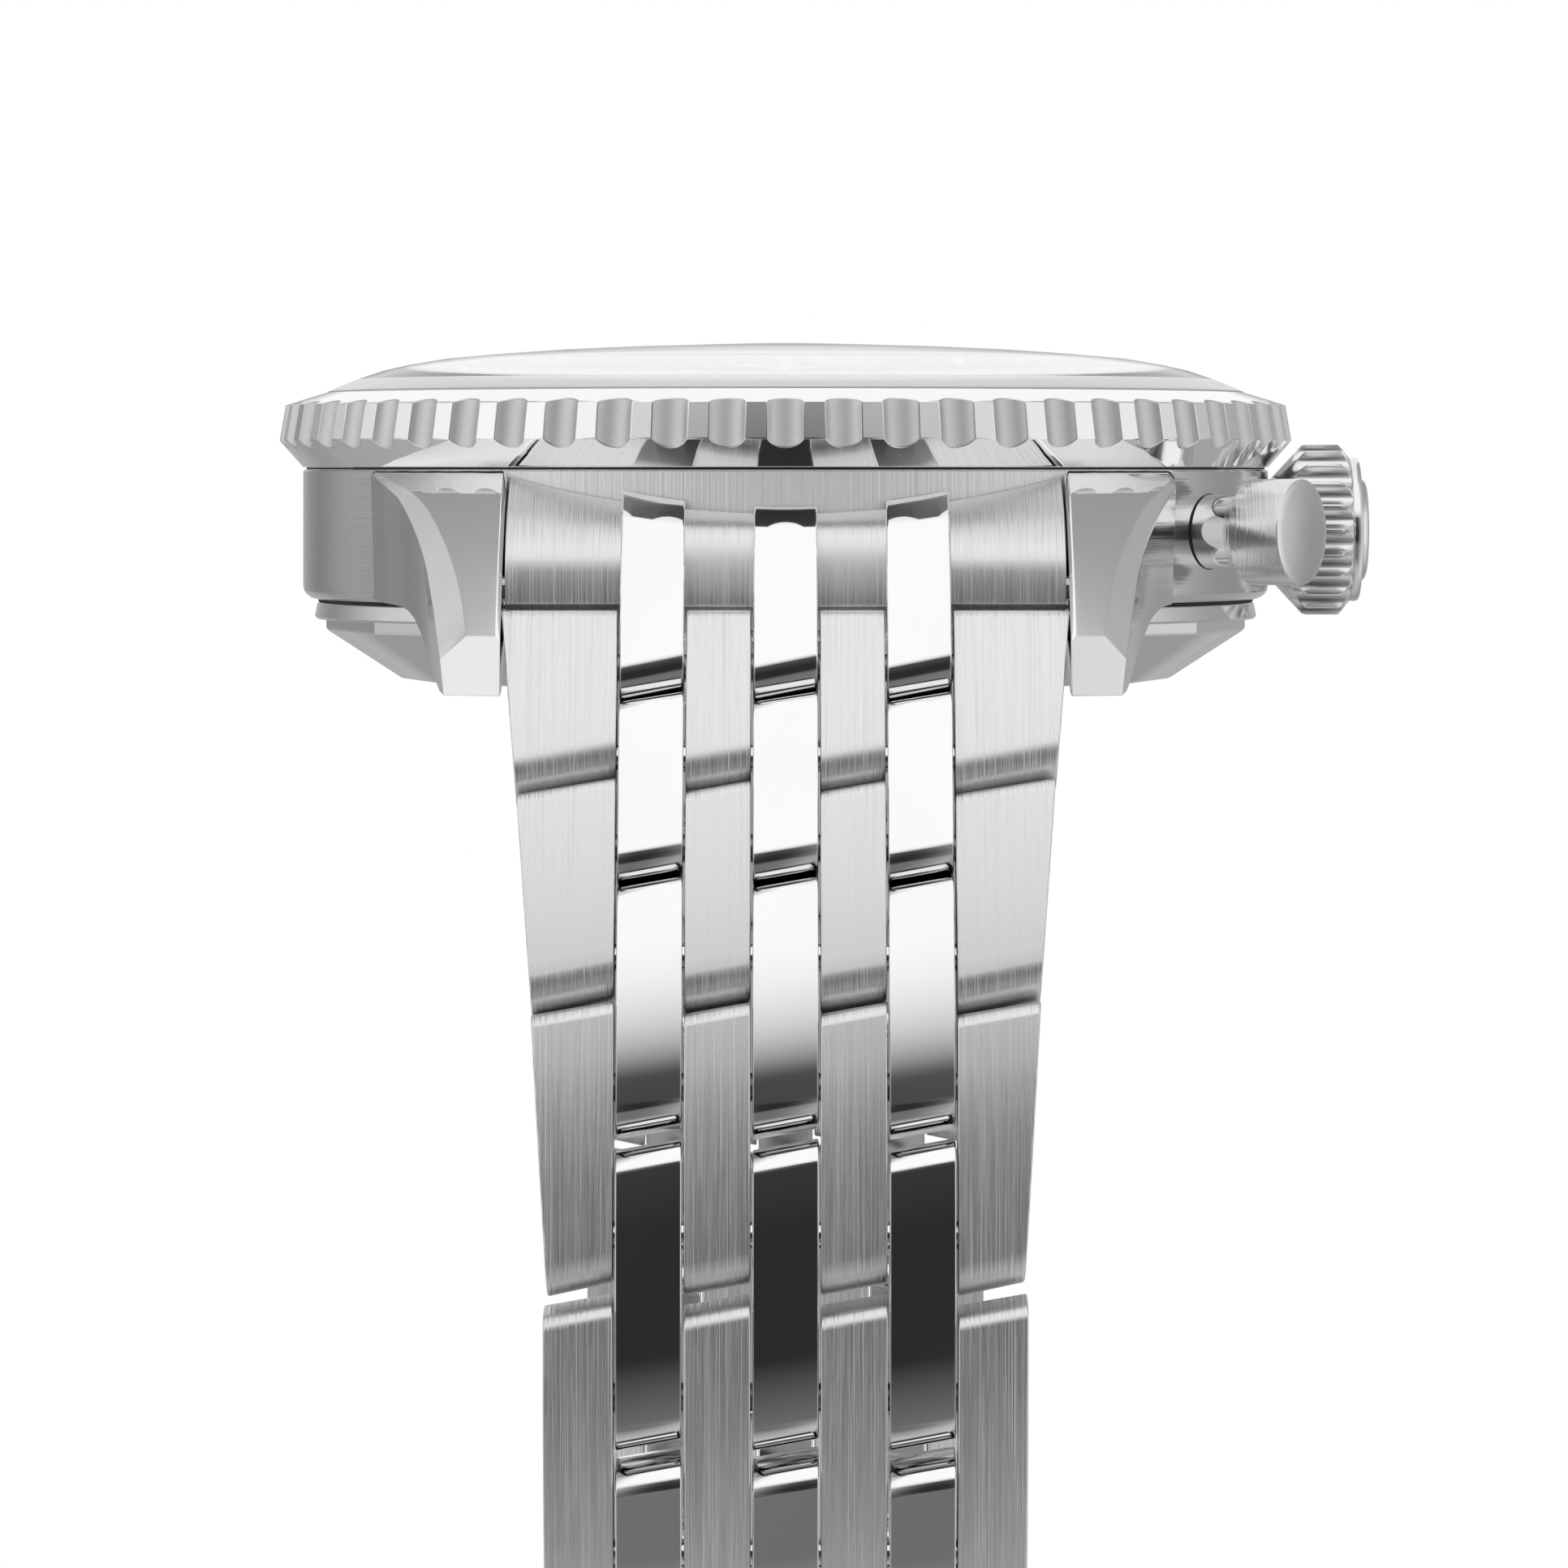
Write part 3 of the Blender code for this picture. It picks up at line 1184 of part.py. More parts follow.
def make_inner_blade():
    """Its two fingers reach the end bar of the 6 o'clock half between that row's plates."""
    width = INNER_BLADE_HALF_WIDTH
    end = clasp_angle(end_radius(CLASP_SPACING) + WALL) - CLASP_END_ANGLE
    tip = clasp_angle(END_BAR_RADIUS + WALL) - CLASP_END_ANGLE
    lift = INNER_BLADE_LIFT
    blade = band(lift, BLADE_THICKNESS, end, BLADE_HINGE_ANGLE - 0.5, -width, width)
    finger = [
        on_clasp(lift + BLADE_THICKNESS - LAP / 2, end + 1.5),
        on_clasp(lift + LAP / 2, end + 1.5),
        on_clasp(-0.5, tip),
        on_clasp(0.9, tip),
    ]
    for near, far in strands("brushed", END_HALF_WIDTH)[1:3]:
        blade = joined(blade, plate([finger[::-1]], near, far, along_x()))
    blade = joined(blade, clasp_rod(KNUCKLE_RADIUS, blade_hinge(), LAP - width, width - LAP))
    reach = width + OVER
    bore = clasp_rod(CLASP_PIN_RADIUS + RUNNING, blade_hinge(), -reach, reach, PIN_SIDES)
    piece("clasp_blade_inner", cut(blade, bore), POLISHED_STEEL, (0, *blade_hinge()))


# ---------------------------------------------------------------- assembly

clear_scene()
WATCH = bpy.data.collections.new("pilot_chronograph_watch")
CUTTERS = bpy.data.collections.new("cutters")
for group in (WATCH, CUTTERS):
    bpy.context.scene.collection.children.link(group)

BRIGHT_STEEL = material("polished case steel", STEEL, 0.12, 1.0)
POLISHED_STEEL = material("polished link steel", STEEL, 0.1, 1.0)
BRUSHED_STEEL = material("brushed link steel", (0.55, 0.55, 0.56), 0.38, 1.0)
HAND_STEEL = material("hand steel", (0.7, 0.7, 0.71), 0.2, 1.0)
DARK_DIAL = material("black dial lacquer", (0.012, 0.012, 0.014), 0.35, 0.0)
GLASS = material("sapphire glass", (0.95, 0.97, 1.0), 0.02, 0.0)
BRASS = material("plated movement brass", (0.66, 0.62, 0.5), 0.3, 1.0)
SEAL = material("black seal rubber", (0.02, 0.02, 0.02), 0.7, 0.0)

make_case()
make_back()
make_bezel()
make_crystal()
make_dial()
make_hands()
make_crown()
make_pushers()
make_plates()
make_train()
make_escapement()
make_rotor()
for half_name, half_side in (("12", 1), ("6", -1)):
    make_end_link("end_link_" + half_name, half_side)
    make_spring_bar("spring_bar_" + half_name, half_side)
    for row_number in range(1, len(LINK_STEPS) + 1):
        row_kind = "brushed" if row_number % 2 else "polished"
        make_row(f"link_{half_name}_{row_number:02d}", row_kind, row_number, half_side)
make_cover()
make_buttons()
make_outer_blade()
make_inner_blade()
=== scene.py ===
"""Steel pilot's chronograph on a seven-strand bracelet, seen level from the 6 o'clock side."""

from math import atan2, cos, hypot, pi, radians, sin, sqrt, tan

import bmesh
import bpy
from mathutils import Matrix, Vector


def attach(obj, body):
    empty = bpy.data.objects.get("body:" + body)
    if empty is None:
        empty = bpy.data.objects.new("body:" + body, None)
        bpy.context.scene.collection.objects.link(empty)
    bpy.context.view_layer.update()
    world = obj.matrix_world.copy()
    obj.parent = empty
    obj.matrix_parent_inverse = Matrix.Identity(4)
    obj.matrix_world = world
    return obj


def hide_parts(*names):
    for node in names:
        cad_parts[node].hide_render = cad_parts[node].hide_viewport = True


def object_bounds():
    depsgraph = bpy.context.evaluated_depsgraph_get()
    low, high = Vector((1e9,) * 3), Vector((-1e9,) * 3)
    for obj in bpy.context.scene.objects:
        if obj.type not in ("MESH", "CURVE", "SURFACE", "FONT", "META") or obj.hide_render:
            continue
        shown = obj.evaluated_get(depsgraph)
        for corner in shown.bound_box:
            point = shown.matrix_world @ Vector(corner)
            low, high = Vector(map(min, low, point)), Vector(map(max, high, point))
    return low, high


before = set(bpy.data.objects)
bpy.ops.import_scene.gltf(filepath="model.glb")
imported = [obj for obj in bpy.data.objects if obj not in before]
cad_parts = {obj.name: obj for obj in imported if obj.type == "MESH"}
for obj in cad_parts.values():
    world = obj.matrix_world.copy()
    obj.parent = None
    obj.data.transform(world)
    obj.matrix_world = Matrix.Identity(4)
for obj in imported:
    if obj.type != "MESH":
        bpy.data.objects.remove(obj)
cad_box = [list(corner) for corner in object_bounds()]
mm = 0.001


# ---------------------------------------------------------------- studio
# A light tent: a round cloth in white, grey and black panels, seen only in the steel's
# reflections, with plain white light outside it and a pale table that keeps the shadow.

bpy.ops.object.select_all(action="DESELECT")
bpy.ops.object.camera_add(location=(0, -0.3, 0.00895), rotation=(radians(90), 0, 0))
camera = bpy.context.object
camera.data.lens = 161.7
camera.data.sensor_width = 36
camera.data.shift_x = -0.001
camera.data.shift_y = -0.2013
camera.data.clip_start = 0.01
bpy.context.scene.camera = camera
bpy.context.scene.view_settings.view_transform = "Standard"

tent = bpy.data.worlds.new("light tent")
tent.use_nodes = True
tent.node_tree.nodes["Background"].inputs["Color"].default_value = (1, 1, 1, 1)
tent.node_tree.nodes["Background"].inputs["Strength"].default_value = 1.0
bpy.context.scene.world = tent


class Value:
    """One output of a shader; arithmetic on it adds Math nodes."""

    def __init__(self, socket):
        self.socket = socket
        self.nodes = socket.node.id_data.nodes
        self.links = socket.node.id_data.links

    def made(self, kind, settings, inputs, output=0):
        """The output of any other node, from its settings and what its sockets take."""
        node = self.nodes.new(kind)
        for place, shade in settings.pop("stops", ()):
            stops = node.color_ramp.elements
            ends = {0: stops[0], 1: stops[-1]}
            stop = ends[place] if place in ends else stops.new(place)
            stop.color = (shade, shade, shade, 1)
        for key, value in settings.items():
            setattr(node, key, value)
        for key, value in inputs.items():
            if isinstance(value, Value):
                self.links.new(value.socket, node.inputs[key])
            else:
                node.inputs[key].default_value = value
        return Value(node.outputs[output])

    def math(self, operation, *values):
        inputs = dict(enumerate(values))
        return self.made("ShaderNodeMath", {"operation": operation}, inputs)

    def __add__(self, other):
        return self.math("ADD", self, other)

    def __radd__(self, other):
        return self.math("ADD", other, self)

    def __sub__(self, other):
        return self.math("SUBTRACT", self, other)

    def __rsub__(self, other):
        return self.math("SUBTRACT", other, self)

    def __mul__(self, other):
        return self.math("MULTIPLY", self, other)

    def __rmul__(self, other):
        return self.math("MULTIPLY", other, self)

    def __truediv__(self, other):
        return self.math("DIVIDE", self, other)

    def __pow__(self, other):
        return self.math("POWER", self, other)

    def __gt__(self, other):
        return self.math("GREATER_THAN", self, other)

    def __abs__(self):
        return self.math("ABSOLUTE", self)

    def at_least(self, low):
        return self.math("MAXIMUM", self, low)

    def clamped(self, low, high):
        return self.math("MINIMUM", self.at_least(low), high)

    def grain(self, scale, detail=2.0, turn=(0, 0, 0)):
        """Noise of this point, stretched by a scale along each axis."""
        settings = {"vector_type": "POINT"}
        inputs = {"Vector": self, "Rotation": turn, "Scale": scale}
        placed = self.made("ShaderNodeMapping", settings, inputs)
        inputs = {"Vector": placed, "Scale": 1.0, "Detail": detail}
        return self.made("ShaderNodeTexNoise", {}, inputs)

    def blend(self, dark, light):
        """A colour between two, by this share."""
        settings = {"data_type": "RGBA"}
        inputs = {0: self, 6: (*dark, 1), 7: (*light, 1)}
        return self.made("ShaderNodeMix", settings, inputs, 2)


def new_look(name):
    """A new material, its shader and the point that is being coloured."""
    look = bpy.data.materials.new(name)
    look.use_nodes = True
    nodes = look.node_tree.nodes
    place = nodes.new("ShaderNodeTexCoord")
    return look, nodes["Principled BSDF"], Value(place.outputs["Object"])


def feed(shader, name, value):
    shader.id_data.links.new(value.socket, shader.inputs[name])


def bumped(shader, height, strength, depth):
    """Lets a height move the surface's normal."""
    inputs = {"Strength": strength, "Distance": depth, "Height": height}
    feed(shader, "Normal", height.made("ShaderNodeBump", {}, inputs))


def split(point):
    """The three coordinates of a point."""
    made = point.made("ShaderNodeSeparateXYZ", {}, {"Vector": point})
    return [Value(socket) for socket in made.socket.node.outputs]


floor_height = cad_box[0][2] - 0.05 * mm
bpy.ops.mesh.primitive_circle_add(
    vertices=96, radius=0.08, fill_type="NGON", location=(0, 0, floor_height)
)
table = bpy.context.object
table.name = "table"
table_look, shader, point = new_look("pale table")
shader.inputs["Base Color"].default_value = (0.85, 0.85, 0.85, 1)
shader.inputs["Roughness"].default_value = 0.9
x, y, z = split(point)
reach = (x * x + y * y) ** 0.5
fade_start, fade_width = 0.034, 0.03
feed(shader, "Alpha", 1 - ((reach - fade_start) / fade_width).clamped(0, 1))
table.data.materials.append(table_look)


def ring(turn, *shades):
    """Shades evenly spaced right round the tent, from the back over the left to the back."""
    stops = [(i / (len(shades) - 1), shade) for i, shade in enumerate(shades)]
    made = turn.made("ShaderNodeValToRGB", {"stops": stops}, {"Fac": turn})
    made.socket.node.color_ramp.interpolation = "B_SPLINE"
    return made


def between(share, low_value, high_value):
    """Goes from one value to another as the share goes from 0 to 1."""
    return low_value + (high_value - low_value) * share.clamped(0, 1)


tent_radius = 0.5
bpy.ops.mesh.primitive_uv_sphere_add(segments=96, ring_count=48, radius=tent_radius)
cloth = bpy.context.object
cloth.name = "tent_cloth"
bpy.ops.object.shade_smooth()
cloth_look, shader, point = new_look("lit tent cloth")
# the turn goes from 0 to 1 right round, and the height is in degrees above the horizon
x, y, z = (way / tent_radius for way in split(point))
turn = x.math("ARCTAN2", x, -1 * y) / (2 * pi) + 0.5
height = z.math("ARCSINE", z) * (180 / pi)
# the camera stands at the middle of each list, and the back of the tent at its ends
wall = ring(
    turn, 0.57, 0.56, 0.5, 0.31, 0.47, 0.8, 1.15, 1.3, 1.3, 1.2, 1.14, 1.03, 0.75, 0.36, 0.1, 0.05,
    0.12, 0.34, 0.57, 0.77, 0.88, 0.92, 0.88, 0.74, 0.58, 0.47, 0.42, 0.42, 0.5, 0.55, 0.57,
)
horizon = ring(
    turn, 0.48, 0.45, 0.33, 0.22, 0.36, 0.42, 0.34, 0.45, 0.8, 0.95, 1.0, 0.85, 0.5, 0.18, 0.03, 0.015,
    0.03, 0.18, 0.45, 0.7, 0.9, 0.95, 0.85, 0.65, 0.45, 0.34, 0.32, 0.36, 0.4, 0.45, 0.48,
)
high_ring = ring(turn, 0.35, 0.34, 0.42, 0.55, 0.75, 1.0, 1.0, 0.75, 0.5, 0.4, 0.34, 0.35)
low_ring = ring(turn, 0.35, 0.35, 0.4, 0.8, 0.8, 0.14, 0.14, 0.8, 0.8, 0.4, 0.35, 0.35)
shade = between((height + 24) / 8, low_ring, horizon)
shade = between(height / 20, shade, wall)
shade = between((height - 20) / 14, shade, high_ring)
# the roof is a white panel that widens towards the camera, flat over the watch
steep = z.at_least(0.02)
aside, ahead = abs(x / steep), -1 * y / steep
half = 0.15 + 0.5 * ahead.at_least(0)
roof = (1 - (aside - half) / 0.25).clamped(0, 1)
roof = roof * ((2.85 - ahead) / 1.4).clamped(0, 1) * ((ahead + 1.9) / 0.4).clamped(0, 1)
shade = between(roof, shade, 1.13)
# a white card stands behind the watch, from a few degrees above the horizon
behind = ((0.45 - abs(x / y.at_least(0.02))) / 0.12).clamped(0, 1) * (y > 0)
shade = between(behind * ((height - 6) / 5).clamped(0, 1), shade, 0.98)
shader.inputs["Base Color"].default_value = (0, 0, 0, 1)
shader.inputs["Roughness"].default_value = 1.0
shader.inputs["Emission Strength"].default_value = 1.0
feed(shader, "Emission Color", shade)
cloth.data.materials.append(cloth_look)
cloth.visible_camera = False
cloth.visible_transmission = False
cloth.visible_shadow = False


# ---------------------------------------------------------------- case back
# A screwed-in steel lid: a round flange under the case, and below it a twelve-sided
# faceted cone that lies on the wrist. It is turned, then milled to its flats.


def polished(name, shade=0.82, rough=0.03):
    """Mirror-bright steel with faint smears of the polishing wheel."""
    look, shader, point = new_look(name)
    smears = point.grain((160, 160, 160), 3)
    feed(shader, "Base Color", smears.blend((shade - 0.03,) * 3, (shade + 0.03,) * 3))
    feed(shader, "Roughness", rough + 0.05 * smears)
    shader.inputs["Metallic"].default_value = 1.0
    return look


def turned(profile, steps, hollow=False):
    """Draws a ring of points from one (radius, height) to the next, as a lathe would cut it.

    The two ends are closed by flat faces, or by a wall between them if the piece is hollow.
    """
    (radius, height), *rest = profile
    bpy.ops.object.select_all(action="DESELECT")
    bpy.ops.mesh.primitive_circle_add(
        vertices=steps, radius=radius * mm, fill_type="NOTHING" if hollow else "NGON"
    )
    bpy.ops.object.mode_set(mode="EDIT")
    bpy.ops.mesh.select_all(action="SELECT")
    bpy.ops.transform.translate(value=(0, 0, height * mm))
    for next_radius, next_height in rest:
        rise = {"value": (0, 0, (next_height - height) * mm)}
        bpy.ops.mesh.extrude_region_move(TRANSFORM_OT_translate=rise)
        growth = next_radius / radius
        centre = (0, 0, next_height * mm)
        bpy.ops.transform.resize(value=(growth, growth, 1), center_override=centre)
        radius, height = next_radius, next_height
    bpy.ops.mesh.select_all(action="DESELECT")
    bpy.ops.mesh.select_non_manifold()
    if hollow:
        bpy.ops.mesh.bridge_edge_loops()
    else:
        bpy.ops.mesh.edge_face_add()
    bpy.ops.mesh.select_all(action="SELECT")
    bpy.ops.mesh.normals_make_consistent(inside=False)
    bpy.ops.object.mode_set(mode="OBJECT")
    return bpy.context.object


def alone(piece):
    """Makes a piece the only selected one, and the active one."""
    bpy.ops.object.select_all(action="DESELECT")
    piece.select_set(True)
    bpy.context.view_layer.objects.active = piece
    return piece


def softened(piece, width, segments=2, angle=30, clamp=True):
    """Breaks the sharp edges of a piece."""
    alone(piece)
    bevel = piece.modifiers.new("broken edges", "BEVEL")
    bevel.width = width * mm
    bevel.segments = segments
    bevel.limit_method = "ANGLE"
    bevel.angle_limit = radians(angle)
    bevel.use_clamp_overlap = clamp
    bpy.ops.object.modifier_apply(modifier=bevel.name)
    return piece


def machined(piece, tool, operation="DIFFERENCE", keep_finish=False):
    """Cuts a piece with a tool, or joins the two into one body, and puts the tool away."""
    alone(piece)
    step = piece.modifiers.new("machining", "BOOLEAN")
    step.operation = operation
    step.object = tool
    step.solver = "EXACT"
    if keep_finish:
        step.material_mode = "TRANSFER"
    bpy.ops.object.modifier_apply(modifier=step.name)
    bpy.data.objects.remove(tool)
    return piece


def placed(piece, matrix):
    """Moves a piece's mesh, and leaves the object at the origin."""
    alone(piece)
    piece.matrix_world = matrix
    bpy.ops.object.transform_apply()
    return piece


def handed_over(piece, name, body, nodes, look=None, smooth=25):
    """Names a finished piece and lets it ride on its body in place of its plain solids."""
    piece.name = piece.data.name = name
    if look:
        piece.data.materials.clear()
        piece.data.materials.append(look)
    alone(piece)
    if smooth:
        bpy.ops.object.shade_smooth_by_angle(angle=radians(smooth))
        even = piece.modifiers.new("even shading", "WEIGHTED_NORMAL")
        even.keep_sharp = True
        bpy.ops.object.modifier_apply(modifier=even.name)
    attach(piece, body)
    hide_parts(*nodes)
    return piece


case_polish = polished("polished case steel")
seal_look, shader, point = new_look("black seal rubber")
shade = point.grain((900, 900, 900)).blend((0.012,) * 3, (0.03,) * 3)
feed(shader, "Base Color", shade)
shader.inputs["Roughness"].default_value = 0.7
back_sides = 12
back_profile = [(0.4, 0.0), (16.3, 0.0), (19.56, 2.11), (19.56, 2.73), (0.4, 2.73)]
cone = softened(turned(back_profile, back_sides), 0.12, 3)
flange_profile = [
    (0.4, 2.6), (19.9, 2.6), (20.0, 2.7), (19.9, 3.24), (19.82, 3.32),
    (17.48, 3.32), (17.48, 4.6), (15.6, 4.6), (15.6, 3.0), (0.4, 3.0),
]
flange = turned(flange_profile, 192)
back_seal = turned([(17.7, 3.33), (19.86, 3.33), (19.86, 3.41), (17.7, 3.41)], 160, hollow=True)
handed_over(cone, "caseback_cone", "case", ["caseback"], case_polish, 20)
handed_over(flange, "caseback_flange", "case", ["caseback"], case_polish, 20)
handed_over(back_seal, "caseback_seal", "case", ["caseback"], seal_look, 30)


# ---------------------------------------------------------------- case middle
# The body of the watch: a turned steel drum with a neck for the bezel, and four forged
# lugs with a polished bevel along their outer edge. The wall between the lugs and the flanks
# are brushed, the rest is polished.


def brushed(name, turn=(0, 0, 0), across="x", shade=0.68, rough=0.32, contrast=0.06, depth=1.0):
    """Steel with fine lines that lie square to one axis, after the turn."""
    look, shader, point = new_look(name)
    fine = {"x": (9000, 50, 50), "z": (50, 50, 9000)}[across]
    coarse = {"x": (1500, 25, 25), "z": (25, 25, 1500)}[across]
    lines = point.grain(fine, 5, turn)
    streaks = point.grain(coarse, 6, turn)
    mixed = 0.82 * lines + 0.18 * streaks
    feed(shader, "Base Color", mixed.blend((shade - contrast,) * 3, (shade + contrast,) * 3))
    feed(shader, "Roughness", rough - 0.06 + 0.12 * mixed)
    shader.inputs["Metallic"].default_value = 1.0
    bumped(shader, mixed, depth, 0.07 * mm)
    return look


case_radius, case_top = 20.5, 8.9
drum_profile = [
    (18.4, 10.2), (18.4, 9.9), (17.9, 9.9), (17.9, 9.35), (18.4, 9.35), (18.4, case_top),
    (case_radius - 0.08, case_top), (case_radius, case_top - 0.08), (case_radius, 4.0),
    (20.46, 3.78), (20.34, 3.62), (20.18, 3.5), (20.0, 3.44), (19.9, 3.42), (17.6, 3.42),
    (17.6, 5.0), (16.1, 5.0), (16.1, 9.0), (17.06, 9.0), (17.06, 10.2),
]
drum = turned(drum_profile, 240, hollow=True)
case_brush = brushed("brushed case steel", shade=0.96, rough=0.58, contrast=0.03)
flank_brush = brushed(
    "fine brushed flank steel", across="z", shade=0.74, rough=0.1, contrast=0.03, depth=0.15
)
drum.data.materials.append(case_polish)
drum.data.materials.append(case_brush)
drum.data.materials.append(flank_brush)
# the drum's wall is brushed upright between the lugs, and lengthwise along the flanks
between_lugs = 12.5
for face in drum.data.polygons:
    middle = face.center / mm
    if abs(hypot(middle.x, middle.y) - case_radius) < 0.05:
        face.material_index = 1 if abs(middle.x) < between_lugs else 2

# The lug's top, tip and foot are turned with the case, so it is drawn on circles round the
# watch: radius, top, where the bevel starts and ends, how far it drops, and the foot's height
lug_inside = 11.16
lug_tip_reach = 26.8
lug_stations = (
    (19.70, case_top - 0.001, 17.55, 17.65, 0.05, 3.90),
    (20.36, case_top - 0.001, 16.95, 17.10, 0.10, 3.60),
    (20.85, 8.68, 16.55, 16.75, 0.14, 3.50),
    (21.30, 8.42, 15.95, 16.25, 0.22, 3.44),
    (21.75, 8.10, 15.20, 15.70, 0.32, 3.36),
    (22.20, 7.74, 14.75, 15.38, 0.42, 3.20),
    (22.70, 7.30, 14.32, 15.06, 0.50, 2.88),
    (23.30, 6.75, 13.96, 14.74, 0.60, 2.30),
    (23.90, 6.17, 13.63, 14.47, 0.68, 1.74),
    (24.50, 5.56, 13.33, 14.26, 0.76, 1.22),
    (25.10, 4.91, 13.07, 14.10, 0.82, 0.74),
    (25.70, 4.22, 12.85, 13.93, 0.87, 0.36),
    (26.30, 3.47, 12.68, 13.79, 0.91, 0.14),
    (26.75, 2.84, 12.58, 13.67, 0.93, 0.07),
    (27.05, 2.39, 12.50, 13.58, 0.94, 0.05),
)


def placed_points(points):
    """Moves the selected corners of the mesh being edited to these places, in order."""
    mesh = bmesh.from_edit_mesh(bpy.context.edit_object.data)
    chosen = sorted((vertex for vertex in mesh.verts if vertex.select), key=lambda v: v.index)
    for vertex, point in zip(chosen, points):
        vertex.co = Vector(point) * mm
    bmesh.update_edit_mesh(bpy.context.edit_object.data)


def lug_section(radius, top, bevel_in, bevel_out, drop, foot, lean):
    """Nine corners of the lug on one circle, from the inner foot over the top to the outer one."""
    top_start = lug_inside + 0.18
    top_width = bevel_in - top_start
    outline = (
        (lug_inside, foot), (lug_inside, top - 0.2),
        *[(top_start + top_width * share, top) for share in (0, 0.25, 0.5, 0.75, 1)],
        (bevel_out, top - drop), (bevel_out - 0.16, foot),
    )
    points = []
    for x, z in outline:
        reach = radius + lean * (top - z)
        points.append((x, sqrt(reach**2 - x**2), z))
    return points


def made_lug(pusher_room):
    """The lug at +X and +Y; one beside a pusher is narrower at its root."""
    bpy.ops.object.select_all(action="DESELECT")
    bpy.ops.mesh.primitive_circle_add(vertices=9, radius=mm, fill_type="NGON")
    bpy.ops.object.mode_set(mode="EDIT")
    bpy.ops.mesh.select_all(action="SELECT")
    for number, station in enumerate(lug_stations):
        if number:
            bpy.ops.mesh.extrude_region_move()
            bmesh.from_edit_mesh(bpy.context.edit_object.data).verts.index_update()
        tip = number == len(lug_stations) - 1
        radius, top, bevel_in, bevel_out, drop, foot = station
        if pusher_room:
            bevel_in, bevel_out = min(bevel_in, 15.6), min(bevel_out - 0.2, 15.85)
        section = lug_section(radius, top, bevel_in, bevel_out, drop, foot, 0.18 if tip else 0)
        placed_points(section)
    bpy.ops.mesh.select_all(action="DESELECT")
    bpy.ops.mesh.select_non_manifold()
    bpy.ops.mesh.edge_face_add()
    bpy.ops.mesh.select_all(action="SELECT")
    bpy.ops.mesh.normals_make_consistent(inside=False)
    bpy.ops.object.mode_set(mode="OBJECT")
    return softened(bpy.context.object, 0.06, 3, 17)


def joined(pieces):
    """Several shells made one piece."""
    alone(pieces[0])
    for piece in pieces:
        piece.select_set(True)
    bpy.ops.object.join()
    return bpy.context.object


lugs = []
for mirror_x in (1, -1):
    for mirror_y in (1, -1):
        lug = placed(made_lug(mirror_x > 0), Matrix.Diagonal((mirror_x, mirror_y, 1, 1)))
        bpy.ops.object.mode_set(mode="EDIT")
        bpy.ops.mesh.select_all(action="SELECT")
        bpy.ops.mesh.normals_make_consistent(inside=False)
        bpy.ops.object.mode_set(mode="OBJECT")
        lug.data.materials.append(case_polish)
        lug.data.materials.append(flank_brush)
        for face in lug.data.polygons:
            outward_side = abs(face.normal.z) < 0.25 and face.normal.x * mirror_x > 0.4
            if outward_side and hypot(face.center.x, face.center.y) < lug_tip_reach * mm:
                face.material_index = 1
        lugs.append(lug)
case_body = joined([drum, *lugs])
handed_over(case_body, "case_body", "case", ["case_middle"], smooth=20)


# ---------------------------------------------------------------- movement
# The self-winding movement, shut in the case: plate, bridge, barrel and wheels of gilt brass,
# steel escape wheel, fork, stem and rotor. Its parts are pivoted between plate and bridge.


def gilt(name):
    """Brass with a fine circular grain under a thin gold wash."""
    look, shader, point = new_look(name)
    x, y, z = split(point)
    radius = (x * x + y * y) ** 0.5
    settings = {"noise_dimensions": "1D"}
    rings = radius.made("ShaderNodeTexNoise", settings, {"W": radius, "Scale": 9000.0})
    feed(shader, "Base Color", rings.blend((0.56, 0.42, 0.2), (0.78, 0.62, 0.36)))
    feed(shader, "Roughness", 0.24 + 0.16 * rings)
    shader.inputs["Metallic"].default_value = 1.0
    bumped(shader, rings, 0.2, 0.01 * mm)
    return look


def refinished(look, *names):
    """Gives plain solids that keep their shape a better finish."""
    for name in names:
        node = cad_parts[name]
        node.data.materials.clear()
        node.data.materials.append(look)


refinished(
    gilt("gilt brass"), "main_plate", "train_bridge", "mainspring_barrel", "centre_wheel",
    "third_wheel", "fourth_wheel", "balance_wheel",
)
steel_grain = brushed("fine grained steel", across="z", shade=0.62, rough=0.3, depth=0.3)
refinished(
    steel_grain, "escape_wheel", "pallet_fork", "winding_rotor", "winding_stem", "setting_lever",
    "crown_tube", "spring_bar_12", "spring_bar_6",
)


# ---------------------------------------------------------------- dial
# A lacquered brass disc with three sunk counters, turned in fine rings. Its twelve steel
# batons are riveted on, and the ticks and plain numbers are printed in white.

dial_lacquer, shader, point = new_look("black dial lacquer")
dust = point.grain((2600, 2600, 2600), 3)
feed(shader, "Base Color", dust.blend((0.007,) * 3, (0.014,) * 3))
feed(shader, "Roughness", 0.28 + 0.1 * dust)
shader.inputs["Coat Weight"].default_value = 0.4


def ringed_lacquer(name, centre):
    """Lacquer over fine rings turned round a counter's middle."""
    look, shader, point = new_look(name)
    x, y, z = split(point)
    across, along = x - centre[0] * mm, y - centre[1] * mm
    radius = (across * across + along * along) ** 0.5
    groove_pitch = 0.12 * mm
    phase = radius * (2 * pi / groove_pitch)
    grooves = phase.math("SINE", phase)
    feed(shader, "Base Color", (0.5 + 0.5 * grooves).blend((0.008,) * 3, (0.022,) * 3))
    feed(shader, "Roughness", 0.3 + 0.04 * grooves)
    bumped(shader, grooves, 0.5, 0.01 * mm)
    return look


